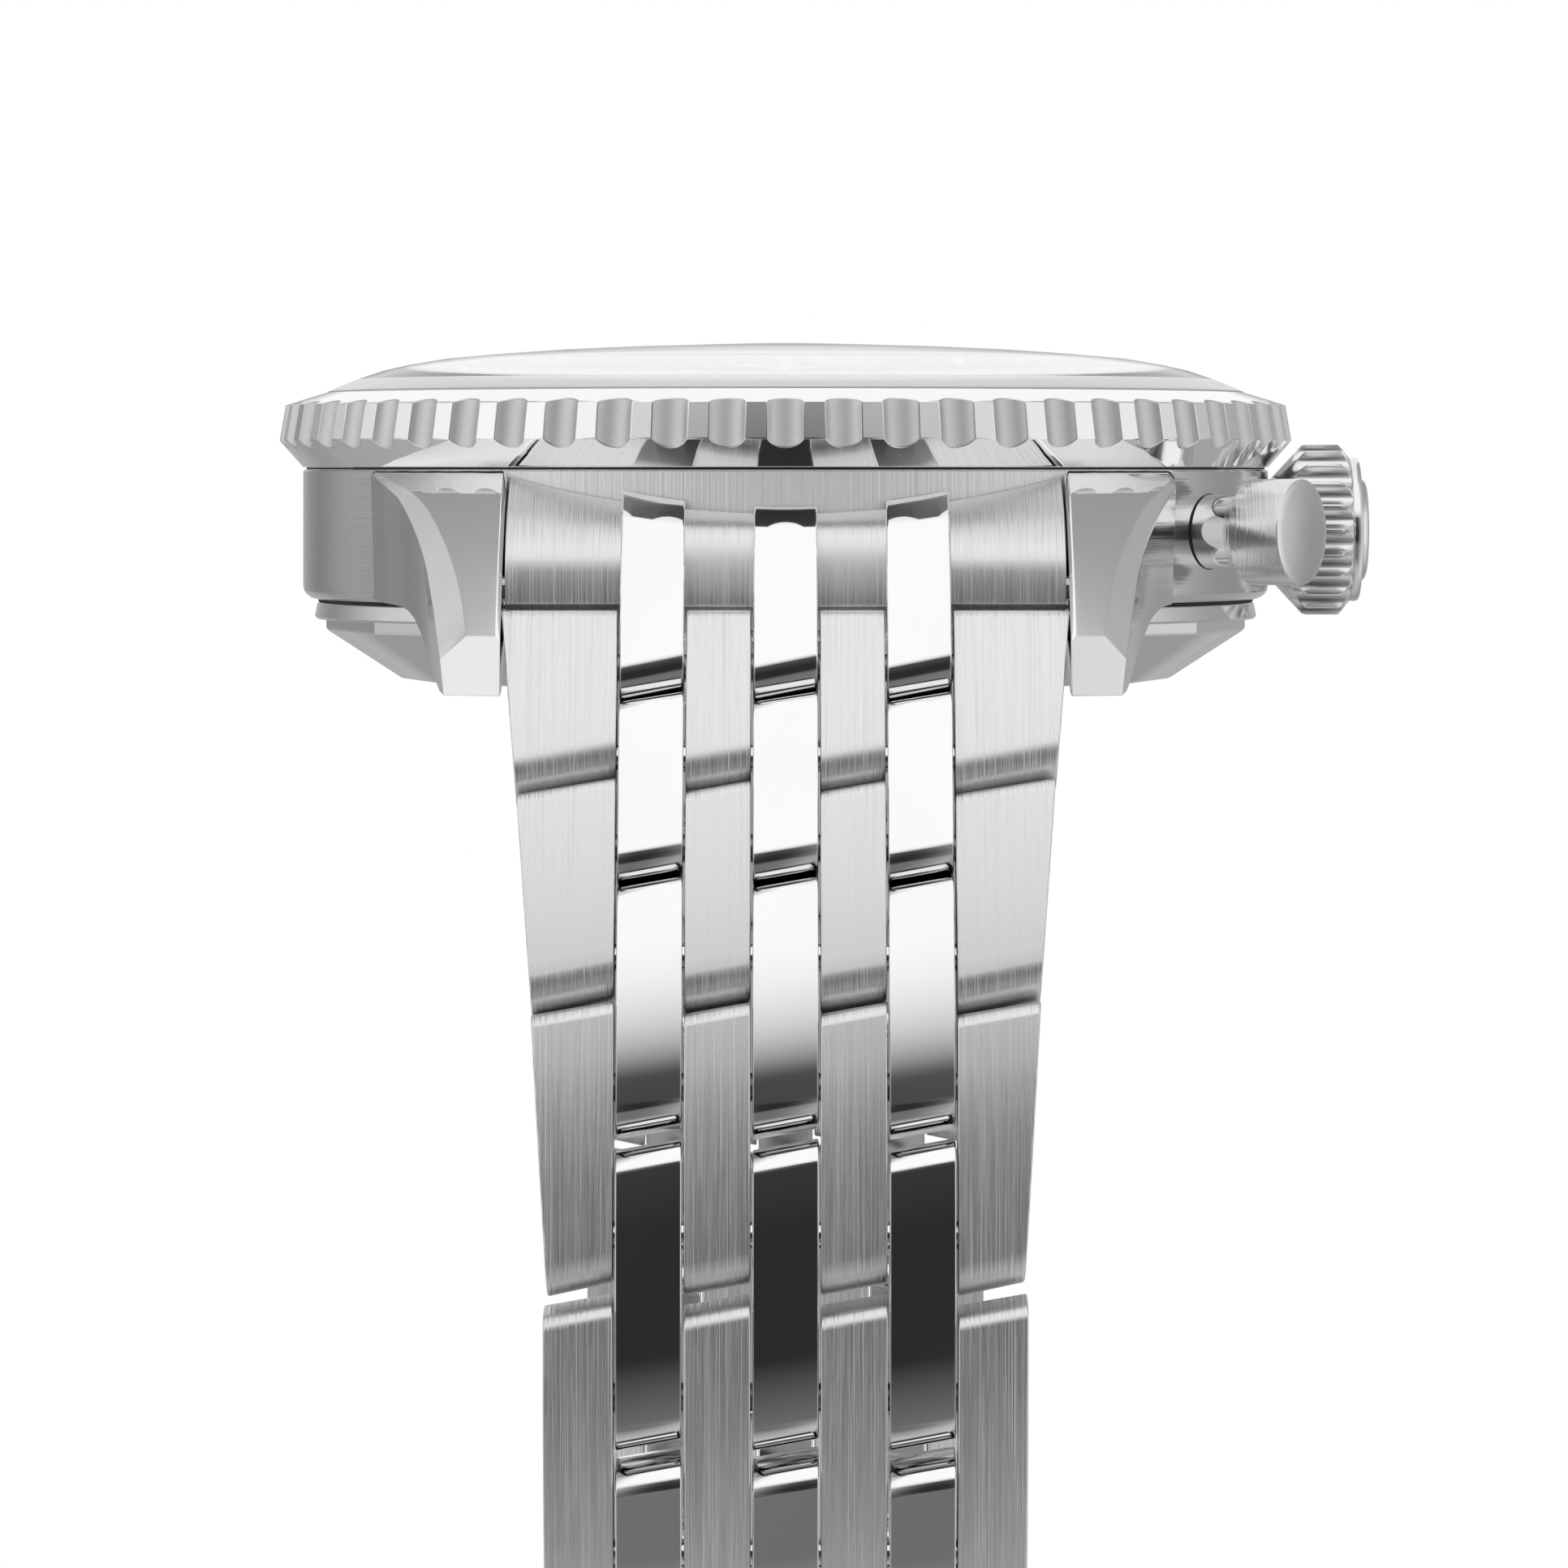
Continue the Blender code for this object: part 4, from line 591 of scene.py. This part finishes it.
white_print, shader, point = new_look("white dial print")
feed(shader, "Base Color", point.grain((3000, 3000, 3000)).blend((0.74,) * 3, (0.86,) * 3))
shader.inputs["Roughness"].default_value = 0.5

dial_top = 9.46
counters = {"seconds": (-7.6, 0), "minutes": (7.6, 0), "hours": (0, -7.6)}
disc = turned([(0.75, 9.06), (17.0, 9.06), (17.0, dial_top), (0.75, dial_top)], 160, hollow=True)
disc.data.materials.append(dial_lacquer)
for name, (x, y) in counters.items():
    bpy.ops.mesh.primitive_cylinder_add(
        vertices=96, radius=3.9 * mm, depth=0.24 * mm, location=(x * mm, y * mm, dial_top * mm)
    )
    bpy.context.object.data.materials.append(ringed_lacquer(f"{name} counter lacquer", (x, y)))
    machined(disc, bpy.context.object, keep_finish=True)
handed_over(disc, "dial_disc", "case", ["dial"], smooth=30)


def printed(words, size, place):
    """Upright flat figures, made a thin mesh."""
    bpy.ops.object.text_add(location=place)
    figures = bpy.context.object
    figures.data.body = words
    figures.data.size = size * mm
    figures.data.align_x = figures.data.align_y = "CENTER"
    figures.data.extrude = 0.01 * mm
    figures.data.resolution_u = 3
    bpy.ops.object.convert(target="MESH")
    bpy.ops.object.transform_apply()
    return bpy.context.object


def tick(width, inner, outer, height, angle, centre=(0, 0), rise=0.0):
    """A bar along a radius, between two distances from a centre; the rise tips its far end up."""
    bpy.ops.mesh.primitive_cube_add(size=mm)
    bar = bpy.context.object
    bar.scale = (width, outer - inner, height)
    tilt = Matrix.Rotation(rise, 4, "X")
    lift = Matrix.Translation((0, (inner + outer) / 2 * mm, height / 2 * mm))
    spot = Matrix.Translation((centre[0] * mm, centre[1] * mm, 0))
    turn = Matrix.Rotation(radians(-angle), 4, "Z")
    bar.matrix_world = spot @ turn @ lift @ tilt @ bar.matrix_basis
    bpy.ops.object.transform_apply()
    return bar


def raised_to(piece, height):
    """Lifts a flat piece's mesh to a height."""
    return placed(piece, Matrix.Translation((0, 0, height * mm)))


marks = [tick(0.11 if i % 5 else 0.22, 15.25, 15.8, 0.02, 6 * i) for i in range(60)]
# how many ticks each counter has, and which of them are long
counter_ticks = {"seconds": (12, 3), "minutes": (30, 5), "hours": (12, 3)}
for name, (parts, long_step) in counter_ticks.items():
    for i in range(parts):
        inner = 3.3 if i % long_step else 3.0
        marks.append(tick(0.08, inner, 3.7, 0.02, 360 * i / parts, counters[name]))
marks = [raised_to(joined(marks[:60]), dial_top), raised_to(joined(marks[60:]), dial_top - 0.12)]
figures = {
    "seconds": ("60", "15", "30", "45"),
    "minutes": ("30", "", "15", ""),
    "hours": ("12", "3", "6", "9"),
}
for name, words in figures.items():
    x, y = counters[name]
    for i, word in enumerate(words):
        if word:
            spot = (x + 2.25 * sin(i * pi / 2), y + 2.25 * cos(i * pi / 2))
            place = (spot[0] * mm, spot[1] * mm, (dial_top - 0.11) * mm)
            marks.append(printed(word, 1.25, place))
handed_over(joined(marks), "dial_print", "case", ["dial"], white_print, 0)

hand_polish = polished("polished hand steel", 0.84)
batons = []
for hour in range(12):
    start = 12.3 if hour in (3, 6, 9) else 11.2
    for shift in ((-0.55, 0.55) if hour == 0 else (0,)):
        baton = tick(0.7, start, 14.9, 0.3, 0)
        softened(baton, 0.12, 2, 30)
        move = Matrix.Rotation(radians(-30 * hour), 4, "Z") @ Matrix.Translation((shift * mm, 0, 0))
        batons.append(placed(baton, move))
baton_set = raised_to(joined(batons), dial_top)
handed_over(baton_set, "dial_batons", "case", ["dial"], hand_polish, 30)


# ---------------------------------------------------------------- hands
# Pressed steel batons with broken, polished edges. The long chronograph hand and the three
# counter hands are plain; the hour and minute hands carry a strip of pale luminous paint.


def refined(name, solid, body, width, look):
    """A plain solid's copy, with its flat faces merged and its edges broken."""
    piece = bpy.data.objects.new(name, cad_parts[solid].data.copy())
    bpy.context.collection.objects.link(piece)
    alone(piece)
    bpy.ops.object.mode_set(mode="EDIT")
    bpy.ops.mesh.select_all(action="SELECT")
    bpy.ops.mesh.remove_doubles(threshold=0.002 * mm)
    bpy.ops.mesh.dissolve_limited(angle_limit=radians(2))
    bpy.ops.object.mode_set(mode="OBJECT")
    softened(piece, width, 2, 30)
    return handed_over(piece, name, body, [solid], look, 30)


refined("hour_hand_steel", "hour_hand", "hours", 0.03, hand_polish)
refined("minute_hand_steel", "minute_hand", "minutes", 0.03, hand_polish)
for solid, body in (
    ("chrono_seconds_hand", "chrono_seconds"), ("small_seconds_hand", "running_seconds"),
    ("minute_counter_hand", "chrono_minutes"), ("hour_counter_hand", "chrono_hours"),
):
    refined(f"{solid}_steel", solid, body, 0.02, hand_polish)

lume, shader, point = new_look("pale luminous paint")
grit = point.grain((9000, 9000, 9000))
feed(shader, "Base Color", grit.blend((0.6, 0.66, 0.5), (0.7, 0.76, 0.6)))
shader.inputs["Roughness"].default_value = 0.75
for name, body, inner, outer, top, turn in (
    ("hour", "hours", 2.2, 7.6, 9.96, 305), ("minute", "minutes", 2.4, 12.6, 10.31, 50),
):
    strip = raised_to(softened(tick(0.42, inner, outer, 0.05, turn), 0.03, 2), top)
    handed_over(strip, f"{name}_hand_lume", body, [f"{name}_hand"], lume, 30)


# ---------------------------------------------------------------- scale ring and gasket
# A sloping ring round the dial with printed divisions, turned by the bezel under the crystal;
# below it a rubber ring in the case's groove keeps water out.

ring_paint, shader, point = new_look("silvered ring")
speck = point.grain((5000, 5000, 5000), 2)
feed(shader, "Base Color", speck.blend((0.5,) * 3, (0.62,) * 3))
feed(shader, "Roughness", 0.42 + 0.1 * speck)
shader.inputs["Metallic"].default_value = 0.6
ring_profile = [
    (18.54, 11.16), (18.54, 10.36), (16.8, 10.36), (15.9, 9.91), (15.9, 10.11), (16.1, 10.22),
]
scale_ring = softened(turned(ring_profile, 160, hollow=True), 0.03, 2)
handed_over(
    scale_ring, "scale_ring_body", "rotating_bezel", ["inner_scale_ring"], ring_paint
)
slope = atan2(11.16 - 10.22, 18.54 - 16.1)
dark_print, shader, point = new_look("black ring print")
feed(shader, "Base Color", point.grain((3000, 3000, 3000)).blend((0.01,) * 3, (0.03,) * 3))
shader.inputs["Roughness"].default_value = 0.5
divisions = []
for i in range(120):
    inner = 17.5 if i % 10 == 0 else (17.9 if i % 2 == 0 else 18.1)
    divisions.append(tick(0.07, inner, 18.45, 0.02, 3 * i, rise=slope))
    height = 10.22 + ((inner + 18.45) / 2 - 16.1) * tan(slope)
    raised_to(divisions[-1], height)
for i in range(12):
    number = printed(str(60 - 5 * i), 0.9, (0, 0, 0))
    spot = Matrix.Translation((0, 16.9 * mm, (10.24 + 0.8 * tan(slope)) * mm))
    lean = Matrix.Rotation(slope, 4, "X")
    divisions.append(placed(number, Matrix.Rotation(radians(30 * i), 4, "Z") @ spot @ lean))
ring_print = joined(divisions)
handed_over(
    ring_print, "scale_ring_print", "rotating_bezel", ["inner_scale_ring"], dark_print, 0
)

gasket = turned([(18.52, 9.42), (18.52, 9.82), (17.98, 9.82), (17.98, 9.42)], 128, hollow=True)
# painted shade: a thin black ring under the bezel stands in for the shade in the gap between bezel and
# case
gap_shade_ring = turned([(18.45, 8.905), (20.36, 8.905), (20.36, 8.99), (18.45, 8.99)], 160, hollow=True)
softened(gasket, 0.1, 3)
rubber = joined([gasket, gap_shade_ring])
handed_over(rubber, "gasket_and_gap_shade_ring", "case", ["bezel_gasket"], seal_look, 30)


# ---------------------------------------------------------------- bezel
# A steel ring that turns on the case's neck and holds the crystal. Its polished rim is
# milled with 58 matt flutes, which run out into the slopes above and below.


def matted(name, shade=0.68):
    """Steel with the fine grit of a blasted surface."""
    look, shader, point = new_look(name)
    grit = point.grain((14000, 14000, 14000), 2)
    patches = point.grain((500, 500, 500), 2)
    feed(shader, "Base Color", grit.blend((shade - 0.08,) * 3, (shade + 0.08,) * 3))
    feed(shader, "Roughness", 0.36 + 0.14 * patches)
    shader.inputs["Metallic"].default_value = 1.0
    bumped(shader, grit, 0.4, 0.01 * mm)
    return look


bezel_polish = polished("polished bezel steel", 0.93)
flute_matt = matted("matt flute steel")
flute_count, flute_radius, flute_depth = 58, 0.89, 0.37
rim_top, rim_foot = (21.24, 11.63), (21.5, 10.13)
bezel_profile = [
    (19.46, 12.17), rim_top, rim_foot, (20.5, 9.0), (18.6, 9.0), (18.6, 11.2), (19.46, 11.2),
]
# two steps to a flute, turned by half a step: each land between two flutes is one flat face
steps = 2 * flute_count
bezel = placed(turned(bezel_profile, steps, hollow=True), Matrix.Rotation(pi / steps, 4, "Z"))
bezel.data.materials.append(bezel_polish)
rim_lean = atan2(rim_foot[0] - rim_top[0], rim_top[1] - rim_foot[1])
mill_distance = (rim_top[0] + rim_foot[0]) / 2 - flute_depth + flute_radius
mill_height = (rim_top[1] + rim_foot[1]) / 2
bpy.ops.mesh.primitive_cylinder_add(vertices=40, radius=flute_radius * mm, depth=6 * mm)
mill_place = Matrix.Translation((0, -mill_distance * mm, mill_height * mm))
mill = placed(bpy.context.object, mill_place @ Matrix.Rotation(-rim_lean, 4, "X"))
mill.data.materials.append(flute_matt)
bpy.ops.object.mode_set(mode="EDIT")
bpy.ops.mesh.select_all(action="SELECT")
bpy.ops.mesh.spin(steps=flute_count, dupli=True, angle=2 * pi, center=(0, 0, 0), axis=(0, 0, 1))
bpy.ops.mesh.select_all(action="SELECT")
bpy.ops.mesh.remove_doubles(threshold=0.0001 * mm)
bpy.ops.object.mode_set(mode="OBJECT")
machined(bezel, mill, keep_finish=True)
softened(bezel, 0.04, 2, 25, clamp=False)
handed_over(bezel, "bezel_ring", "rotating_bezel", ["bezel"], smooth=12)


# ---------------------------------------------------------------- crystal
# A domed sapphire disc, coated against glare, with a ground edge. It is pressed into the
# bezel's lip with a thin grey gasket round it.


def sapphire(name, shade, clearness, index, rough):
    """Sapphire glass; its coated faces take a lower index, because they mirror less."""
    look, shader, point = new_look(name)
    shader.inputs["Base Color"].default_value = (shade, shade, shade, 1)
    shader.inputs["Transmission Weight"].default_value = clearness
    shader.inputs["IOR"].default_value = index
    feed(shader, "Roughness", rough + 0.2 * rough * point.grain((300, 300, 300)))
    return look, shader


clear_sapphire, shader = sapphire("clear sapphire", 1.0, 1.0, 1.5, 0.006)
ground_sapphire_with_painted_glow, shader = sapphire("ground sapphire with painted glow", 0.94, 0.6, 1.77, 0.3)
shader.inputs["Metallic"].default_value = 0.3
# painted glow: the ground edge is given a faint white emission, standing in for the light that the
# crystal gathers
shader.inputs["Emission Color"].default_value = (1, 1, 1, 1)
shader.inputs["Emission Strength"].default_value = 0.08
dome_outside = [
    (19.4, 12.2), (19.3, 12.27), (18.2, 12.72), (17.15, 13.08), (16.1, 13.32), (14.5, 13.59),
    (12.4, 13.78), (9.75, 13.97), (7.0, 14.1), (3.7, 14.2), (2.0, 14.25), (0.5, 14.27),
]
dome_inside = [
    (0.5, 13.0), (3.0, 12.98), (6.0, 12.9), (9.0, 12.76), (12.0, 12.52), (14.5, 12.2),
    (16.6, 11.8), (18.0, 11.3), (19.4, 11.26),
]
crystal = turned([*dome_outside[::-1], *dome_inside[::-1]], 160)
crystal.data.materials.append(clear_sapphire)
crystal.data.materials.append(ground_sapphire_with_painted_glow)
# beyond this radius the rim is ground, and it carries the painted glow
ground_and_glow_from = 18.25
for face in crystal.data.polygons:
    reach = hypot(face.center.x, face.center.y) / mm
    if reach > ground_and_glow_from and face.center.z > 11.3 * mm:
        face.material_index = 1
handed_over(crystal, "crystal_dome", "rotating_bezel", ["crystal"], smooth=40)
gasket_look, shader, point = new_look("grey crystal gasket")
shade = point.grain((900, 900, 900)).blend((0.48,) * 3, (0.56,) * 3)
feed(shader, "Base Color", shade)
shader.inputs["Roughness"].default_value = 0.5
gasket = turned([(19.41, 11.3), (19.455, 11.3), (19.455, 12.2), (19.41, 12.215)], 160, hollow=True)
handed_over(gasket, "crystal_gasket", "rotating_bezel", ["crystal"], gasket_look, 25)


# ---------------------------------------------------------------- crown
# A knurled steel knob on the winding stem: turned with a cone towards the case, a shoulder,
# a polished ring and a domed cap, then milled along its rim with 22 deep flutes.

crown_height = 6.35
crown_line = Matrix.Translation((0, 0, crown_height * mm)) @ Matrix.Rotation(pi / 2, 4, "Y")
knob_profile = [
    (1.26, 20.7), (2.2, 20.7), (3.5, 21.9), (3.62, 22.02), (3.65, 22.14), (3.65, 23.42),
    (3.62, 23.52), (3.02, 24.0), (1.26, 24.0),
]
knob = turned(knob_profile, 176, hollow=True)
bpy.ops.mesh.primitive_cylinder_add(
    vertices=28, radius=0.46 * mm, depth=4 * mm, location=(3.5 * mm, 0, 22.4 * mm)
)
bpy.ops.object.transform_apply()
knob_mill = bpy.context.object
knob_flutes = 22
bpy.ops.object.mode_set(mode="EDIT")
bpy.ops.mesh.select_all(action="SELECT")
bpy.ops.mesh.spin(steps=knob_flutes, dupli=True, angle=2 * pi, center=(0, 0, 0), axis=(0, 0, 1))
bpy.ops.mesh.select_all(action="SELECT")
bpy.ops.mesh.remove_doubles(threshold=0.0001 * mm)
bpy.ops.mesh.normals_make_consistent(inside=False)
bpy.ops.object.mode_set(mode="OBJECT")
machined(knob, knob_mill)
softened(knob, 0.05, 2, 32, clamp=False)
end_profile = [
    (0.3, 23.9), (2.98, 23.9), (3.03, 23.98), (3.05, 24.06), (3.05, 24.26), (3.01, 24.34),
    (2.92, 24.38), (2.3, 24.4), (2.24, 24.42), (2.2, 24.5), (2.1, 24.62), (1.9, 24.7),
    (1.4, 24.735), (0.7, 24.748), (0.3, 24.75),
]
crown_end = turned(end_profile, 128)
crown_polish = polished("polished crown steel", 0.8)
crown_satin = polished("satin crown steel", 0.8, 0.24)
for piece, name, look in ((knob, "crown_knob", crown_satin), (crown_end, "crown_end", crown_polish)):
    placed(piece, crown_line)
    handed_over(piece, name, "crown_and_stem", ["crown"], look, 28)


# ---------------------------------------------------------------- pushers
# Two steel buttons, at 2 and 4 o'clock, that slide in tubes pressed into the case. The neck
# is polished, the head is brushed round its barrel, and its face is polished and domed.

pusher_angle = 32
head_profile = [
    (0.3, 22.0), (1.6, 22.0), (1.6, 22.55), (2.11, 22.55), (2.17, 22.61), (2.17, 24.74),
    (2.15, 24.8), (0.3, 24.8),
]
face_profile = [
    (0.3, 24.4), (2.05, 24.4), (2.15, 24.79), (2.1, 24.82), (1.8, 24.885), (1.4, 24.95),
    (1.0, 25.01), (0.5, 25.05), (0.2, 25.06),
]
neck_profile = [(0.3, 18.9), (1.52, 18.9), (1.52, 22.57), (0.3, 22.57)]
sleeve_profile = [(1.6, 18.0), (2.1, 18.0), (2.1, 20.28), (1.6, 20.28)]
ring_profile = [(1.53, 20.0), (1.565, 20.0), (1.565, 20.5), (1.53, 20.5)]
for number, side, body in ((2, 1, "upper_pusher"), (4, -1, "lower_pusher")):
    turn = radians(pusher_angle * side)
    line = Matrix.Rotation(turn, 4, "Z") @ crown_line
    barrel_brush = brushed(
        f"brushed pusher {number} steel", (0, 0, -turn), shade=0.74, rough=0.2, depth=0.22
    )
    neck = joined([turned(neck_profile, 96), turned(face_profile, 96)])
    handed_over(
        placed(neck, line), f"pusher_{number}_neck_and_face", body, [f"pusher_{number}"],
        crown_polish, 25,
    )
    barrel = placed(turned(head_profile, 96), line)
    handed_over(
        barrel, f"pusher_{number}_barrel", body, [f"pusher_{number}"],
        barrel_brush, 25,
    )
    sleeve = placed(turned(sleeve_profile, 64, hollow=True), line)
    tube = f"pusher_tube_{number}"
    handed_over(sleeve, f"{tube}_steel", "case", [tube], crown_polish, 25)
    # painted shade: a black ring round the neck where it enters the case stands in for the dark gap
    # there
    seal = placed(turned(ring_profile, 96, hollow=True), line)
    handed_over(seal, f"{tube}_seal", "case", [tube], seal_look, 25)


# ---------------------------------------------------------------- end links
# A solid steel block that fills the space between case and bracelet: brushed, with three
# raised polished strands that reach down to the first link's pin.

strand_pitch = 2.62
strand_half = 1.27
half_width = 11.0
# from the case on: the degrees by which each row runs outwards as it hangs down, and the
# distance between its pins
row_leans = (34.0, 27.0, 24.0, 20.0, 17.2, 8.0, 0.0, -9.0, -19.0, -30.0, -42.0)
row_steps = (3.75, 3.9, 3.75, 4.4, 5.1, 5.65, 6.2, 6.2, 6.2, 6.2, 6.2)


def outward(lean):
    """The way along a row, away from the case, in (distance from the middle, height)."""
    return (sin(radians(lean)), -cos(radians(lean)))


pins = [(21.1, 4.2)]
for step, lean in zip(row_steps, row_leans):
    way = outward(lean)
    pins.append((pins[-1][0] + step * way[0], pins[-1][1] + step * way[1]))


def extruded(outline, low_x, high_x):
    """A bar with this side view, its outline in (distance, height), between two X places."""
    bpy.ops.object.select_all(action="DESELECT")
    bpy.ops.mesh.primitive_circle_add(vertices=len(outline), radius=mm, fill_type="NGON")
    bpy.ops.object.mode_set(mode="EDIT")
    bpy.ops.mesh.select_all(action="SELECT")
    placed_points([(low_x, *corner) for corner in outline])
    move = {"value": ((high_x - low_x) * mm, 0, 0)}
    bpy.ops.mesh.extrude_region_move(TRANSFORM_OT_translate=move)
    bpy.ops.mesh.select_all(action="DESELECT")
    bpy.ops.mesh.select_non_manifold()
    bpy.ops.mesh.edge_face_add()
    bpy.ops.mesh.select_all(action="SELECT")
    bpy.ops.mesh.normals_make_consistent(inside=False)
    bpy.ops.object.mode_set(mode="OBJECT")
    return bpy.context.object


def arc(centre, radius, start, end, steps):
    """Points round a centre, their angles in degrees from outwards towards up."""
    turns = [radians(start + (end - start) * i / steps) for i in range(steps + 1)]
    return [(centre[0] + radius * cos(a), centre[1] + radius * sin(a)) for a in turns]


end_slant = 0.2
link_brush = brushed("brushed link steel", shade=0.77, rough=0.36, depth=0.85)
link_polish = polished("polished link steel", 0.84)


def made_end_link():
    """The end link at the 12 o'clock side."""
    outer_side = [
        (16.3, 8.86), (17.3, 8.64), (18.8, 7.98), (20.3, 7.3), (20.9, 6.98), (21.4, 6.64), (21.8, 6.3),
        (22.1, 5.95), (22.3, 5.6), (22.42, 5.25), (22.49, 4.85), (22.53, 4.35), (22.54, 3.8),
        (22.51, 3.6), (22.4, 3.48), (21.4, 2.7), (20.2, 2.4), (17.0, 4.2),
    ]
    inner_side = [
        (16.3, 8.86), (17.3, 8.64), (18.8, 7.98), (20.3, 7.3), (21.0, 6.96), (21.35, 6.74), (21.6, 6.5),
        (21.77, 6.26), (21.89, 6.0), (21.99, 5.7), (22.08, 5.34), (22.16, 4.92), (22.23, 4.48),
        (22.28, 4.06), (22.31, 3.68), (22.29, 3.5), (22.15, 3.4), (21.2, 2.7), (20.2, 2.4), (17.0, 4.2),
    ]
    edge = 2 * strand_pitch + strand_half - 0.05
    pieces = []
    for side, low_x, high_x in (
        (outer_side, -11.06, -edge), (inner_side, -edge, edge), (outer_side, edge, 11.06),
    ):
        block = softened(extruded(side, low_x, high_x), 0.08, 3, 60)
        block.data.materials.append(link_brush)
        pieces.append(block)
    pin = pins[1]
    for place in (-2, 0, 2):
        middle = place * strand_pitch
        low_x = middle - strand_half
        raised = [
            (16.3, 9.3), (17.6, 8.95), (19.2, 8.3), (20.6, 7.42), (21.8, 6.4), (22.6, 5.4), (23.3, 4.3),
            *arc(pin, 1.42, 34, -150, 18), (21.0, 1.2), (20.0, 3.0),
        ]
        strand = extruded(raised, low_x, low_x + 2 * strand_half)
        # its foot is cut aslant, as the plates below it are
        for vertex in strand.data.vertices:
            if vertex.co.z < 2.3 * mm and vertex.co.y > 22.2 * mm:
                vertex.co.z -= end_slant * (vertex.co.x - middle * mm)
        softened(strand, 0.1, 3, 40)
        strand.data.materials.append(link_polish)
        pieces.append(strand)
    for piece in pieces:
        room = (case_radius + 0.12) * mm
        bpy.ops.mesh.primitive_cylinder_add(vertices=240, radius=room, depth=30 * mm)
        machined(piece, bpy.context.object)
    return joined(pieces)


for half, side in (("12", 1), ("6", -1)):
    end_link = made_end_link()
    if side < 0:
        placed(end_link, Matrix.Rotation(pi, 4, "Z"))
    node = f"end_link_{half}"
    handed_over(end_link, f"{node}_steel", "case", [node], smooth=22)


# ---------------------------------------------------------------- bracelet
# Twenty rows of stamped and ground steel plates on press-fitted pins: four brushed plates
# in one row, three polished plates in the next, each row hinged in the middle of the last.
# The plates have slanting ends, and the outer ones narrow towards the clasp.

link_half = 1.35
plate_slant = 0.18
clasp_width, tapered_rows = 9.25, 5
clasp_step = 3.3
# how far the joint above each row lies past the middle between its pins
seam_lifts = (0, 0.3, 0.45, 0.45, 0.75, 0.5, 0.85, 0.8, 1.05, 0.9, 0.9)


def row_width(number):
    """Half the bracelet's width at the joint below a row."""
    return half_width + (clasp_width - half_width) * min(number / tapered_rows, 1)


def made_plate(low_x, high_x, length, above, below, kind, curve, faces_case):
    """One plate, its pin at the origin, hanging down -Z, its outer face towards +Y."""
    top, bottom = above, -length - below
    upper, lower = (0.55, 1.2) if kind == "brushed" else (0.8, 1.0)
    back = 1.0
    heights = [top + (bottom - top) * i / 10 for i in range(2, 9)]
    outline = [
        *arc((link_half - upper, top - upper), upper, 0, 90, 8),
        *arc((back - link_half, top - back), back, 90, 180, 8),
        *[(-link_half, height) for height in heights],
        *arc((back - link_half, bottom + back), back, 180, 270, 8),
        *arc((link_half - lower, bottom + lower), lower, 270, 360, 8),
        *[(link_half, height) for height in heights[::-1]],
    ]
    # the plate is bowed outwards, so that its ends lean by the curve's angle
    half_length = (top - bottom) / 2
    sag = half_length * tan(radians(curve)) / 2
    bowed = []
    for distance, height in outline:
        share = (height - (top + bottom) / 2) / half_length
        bowed.append((distance + sag * (0.5 - share**2), height))
    plate = extruded(bowed, low_x, high_x)
    for vertex in plate.data.vertices:
        if vertex.co.z < -length / 2 * mm or not faces_case:
            vertex.co.z -= plate_slant * (vertex.co.x - (low_x + high_x) / 2 * mm)
    return softened(plate, 0.08, 3, 50)


def made_row(half, number):
    """A row of plates with the pin of its upper joint, in its place on one half."""
    length, lean = row_steps[number], row_leans[number]
    kind = "brushed" if number % 2 else "polished"
    gap, next_gap = (0.1 if n < 6 else 0.5 for n in (number, number + 2))
    above = (row_steps[number - 1] - gap) / 2 + seam_lifts[number]
    after = row_steps[number + 1] if number < 10 else clasp_step
    below = (after - next_gap) / 2 - (seam_lifts[number + 2] if number < 9 else 0)
    curve = abs(row_leans[number + 1] - row_leans[number - 1]) / 2 if number < 10 else 12
    start, end = row_width(number - 1), row_width(number)
    outer = 3 * strand_pitch - strand_half
    places = (-2, 0, 2) if kind == "polished" else (-1, 1)
    spans = [(k * strand_pitch - strand_half, k * strand_pitch + strand_half) for k in places]
    if kind == "brushed":
        spans = [(-start, -outer), *spans, (outer, start)]
    plates = []
    for low_x, high_x in spans:
        plate = made_plate(low_x, high_x, length, above, below, kind, curve, number == 1)
        if max(abs(low_x), abs(high_x)) > outer + 1:
            for vertex in plate.data.vertices:
                if abs(vertex.co.x) > (outer + 0.5) * mm:
                    share = -vertex.co.z / (length * mm)
                    vertex.co.x *= 1 + (end / start - 1) * share
        plates.append(plate)
    pin_half = (end if kind == "polished" else start) - 0.35
    bpy.ops.mesh.primitive_cylinder_add(
        vertices=24, radius=0.55 * mm, depth=2 * pin_half * mm, rotation=(0, pi / 2, 0)
    )
    pin = bpy.context.object
    bpy.ops.object.transform_apply()
    row = joined([*plates, pin])
    row.data.materials.clear()
    y, z = pins[number]
    side = 1 if half == "12" else -1
    turn = Matrix.Rotation(radians(lean), 4, "X")
    where = Matrix.Translation((0, y * mm, z * mm)) @ turn
    if side < 0:
        where = Matrix.Rotation(pi, 4, "Z") @ where
    placed(row, where)
    look = link_brush if kind == "brushed" else link_polish
    body = f"link_{half}_{number:02d}"
    handed_over(row, f"{body}_steel", body, [body], look, 22)


for half in ("12", "6"):
    for number in range(1, 11):
        made_row(half, number)


# ---------------------------------------------------------------- clasp
# A folding clasp of stamped steel: a brushed cover with turned-down walls, two curved blades
# that fold into it on riveted pins, and two buttons in its sides that free the catch.

clasp_brush = brushed("brushed clasp steel", shade=0.66)
clasp_polish = polished("polished clasp steel", 0.8)
refined("clasp_cover_steel", "clasp_cover", "clasp_cover", 0.12, clasp_brush)
for blade in ("clasp_blade_outer", "clasp_blade_inner"):
    refined(f"{blade}_steel", blade, blade, 0.08, clasp_polish)
for button in ("clasp_button_left", "clasp_button_right"):
    refined(f"{button}_steel", button, button, 0.1, clasp_polish)
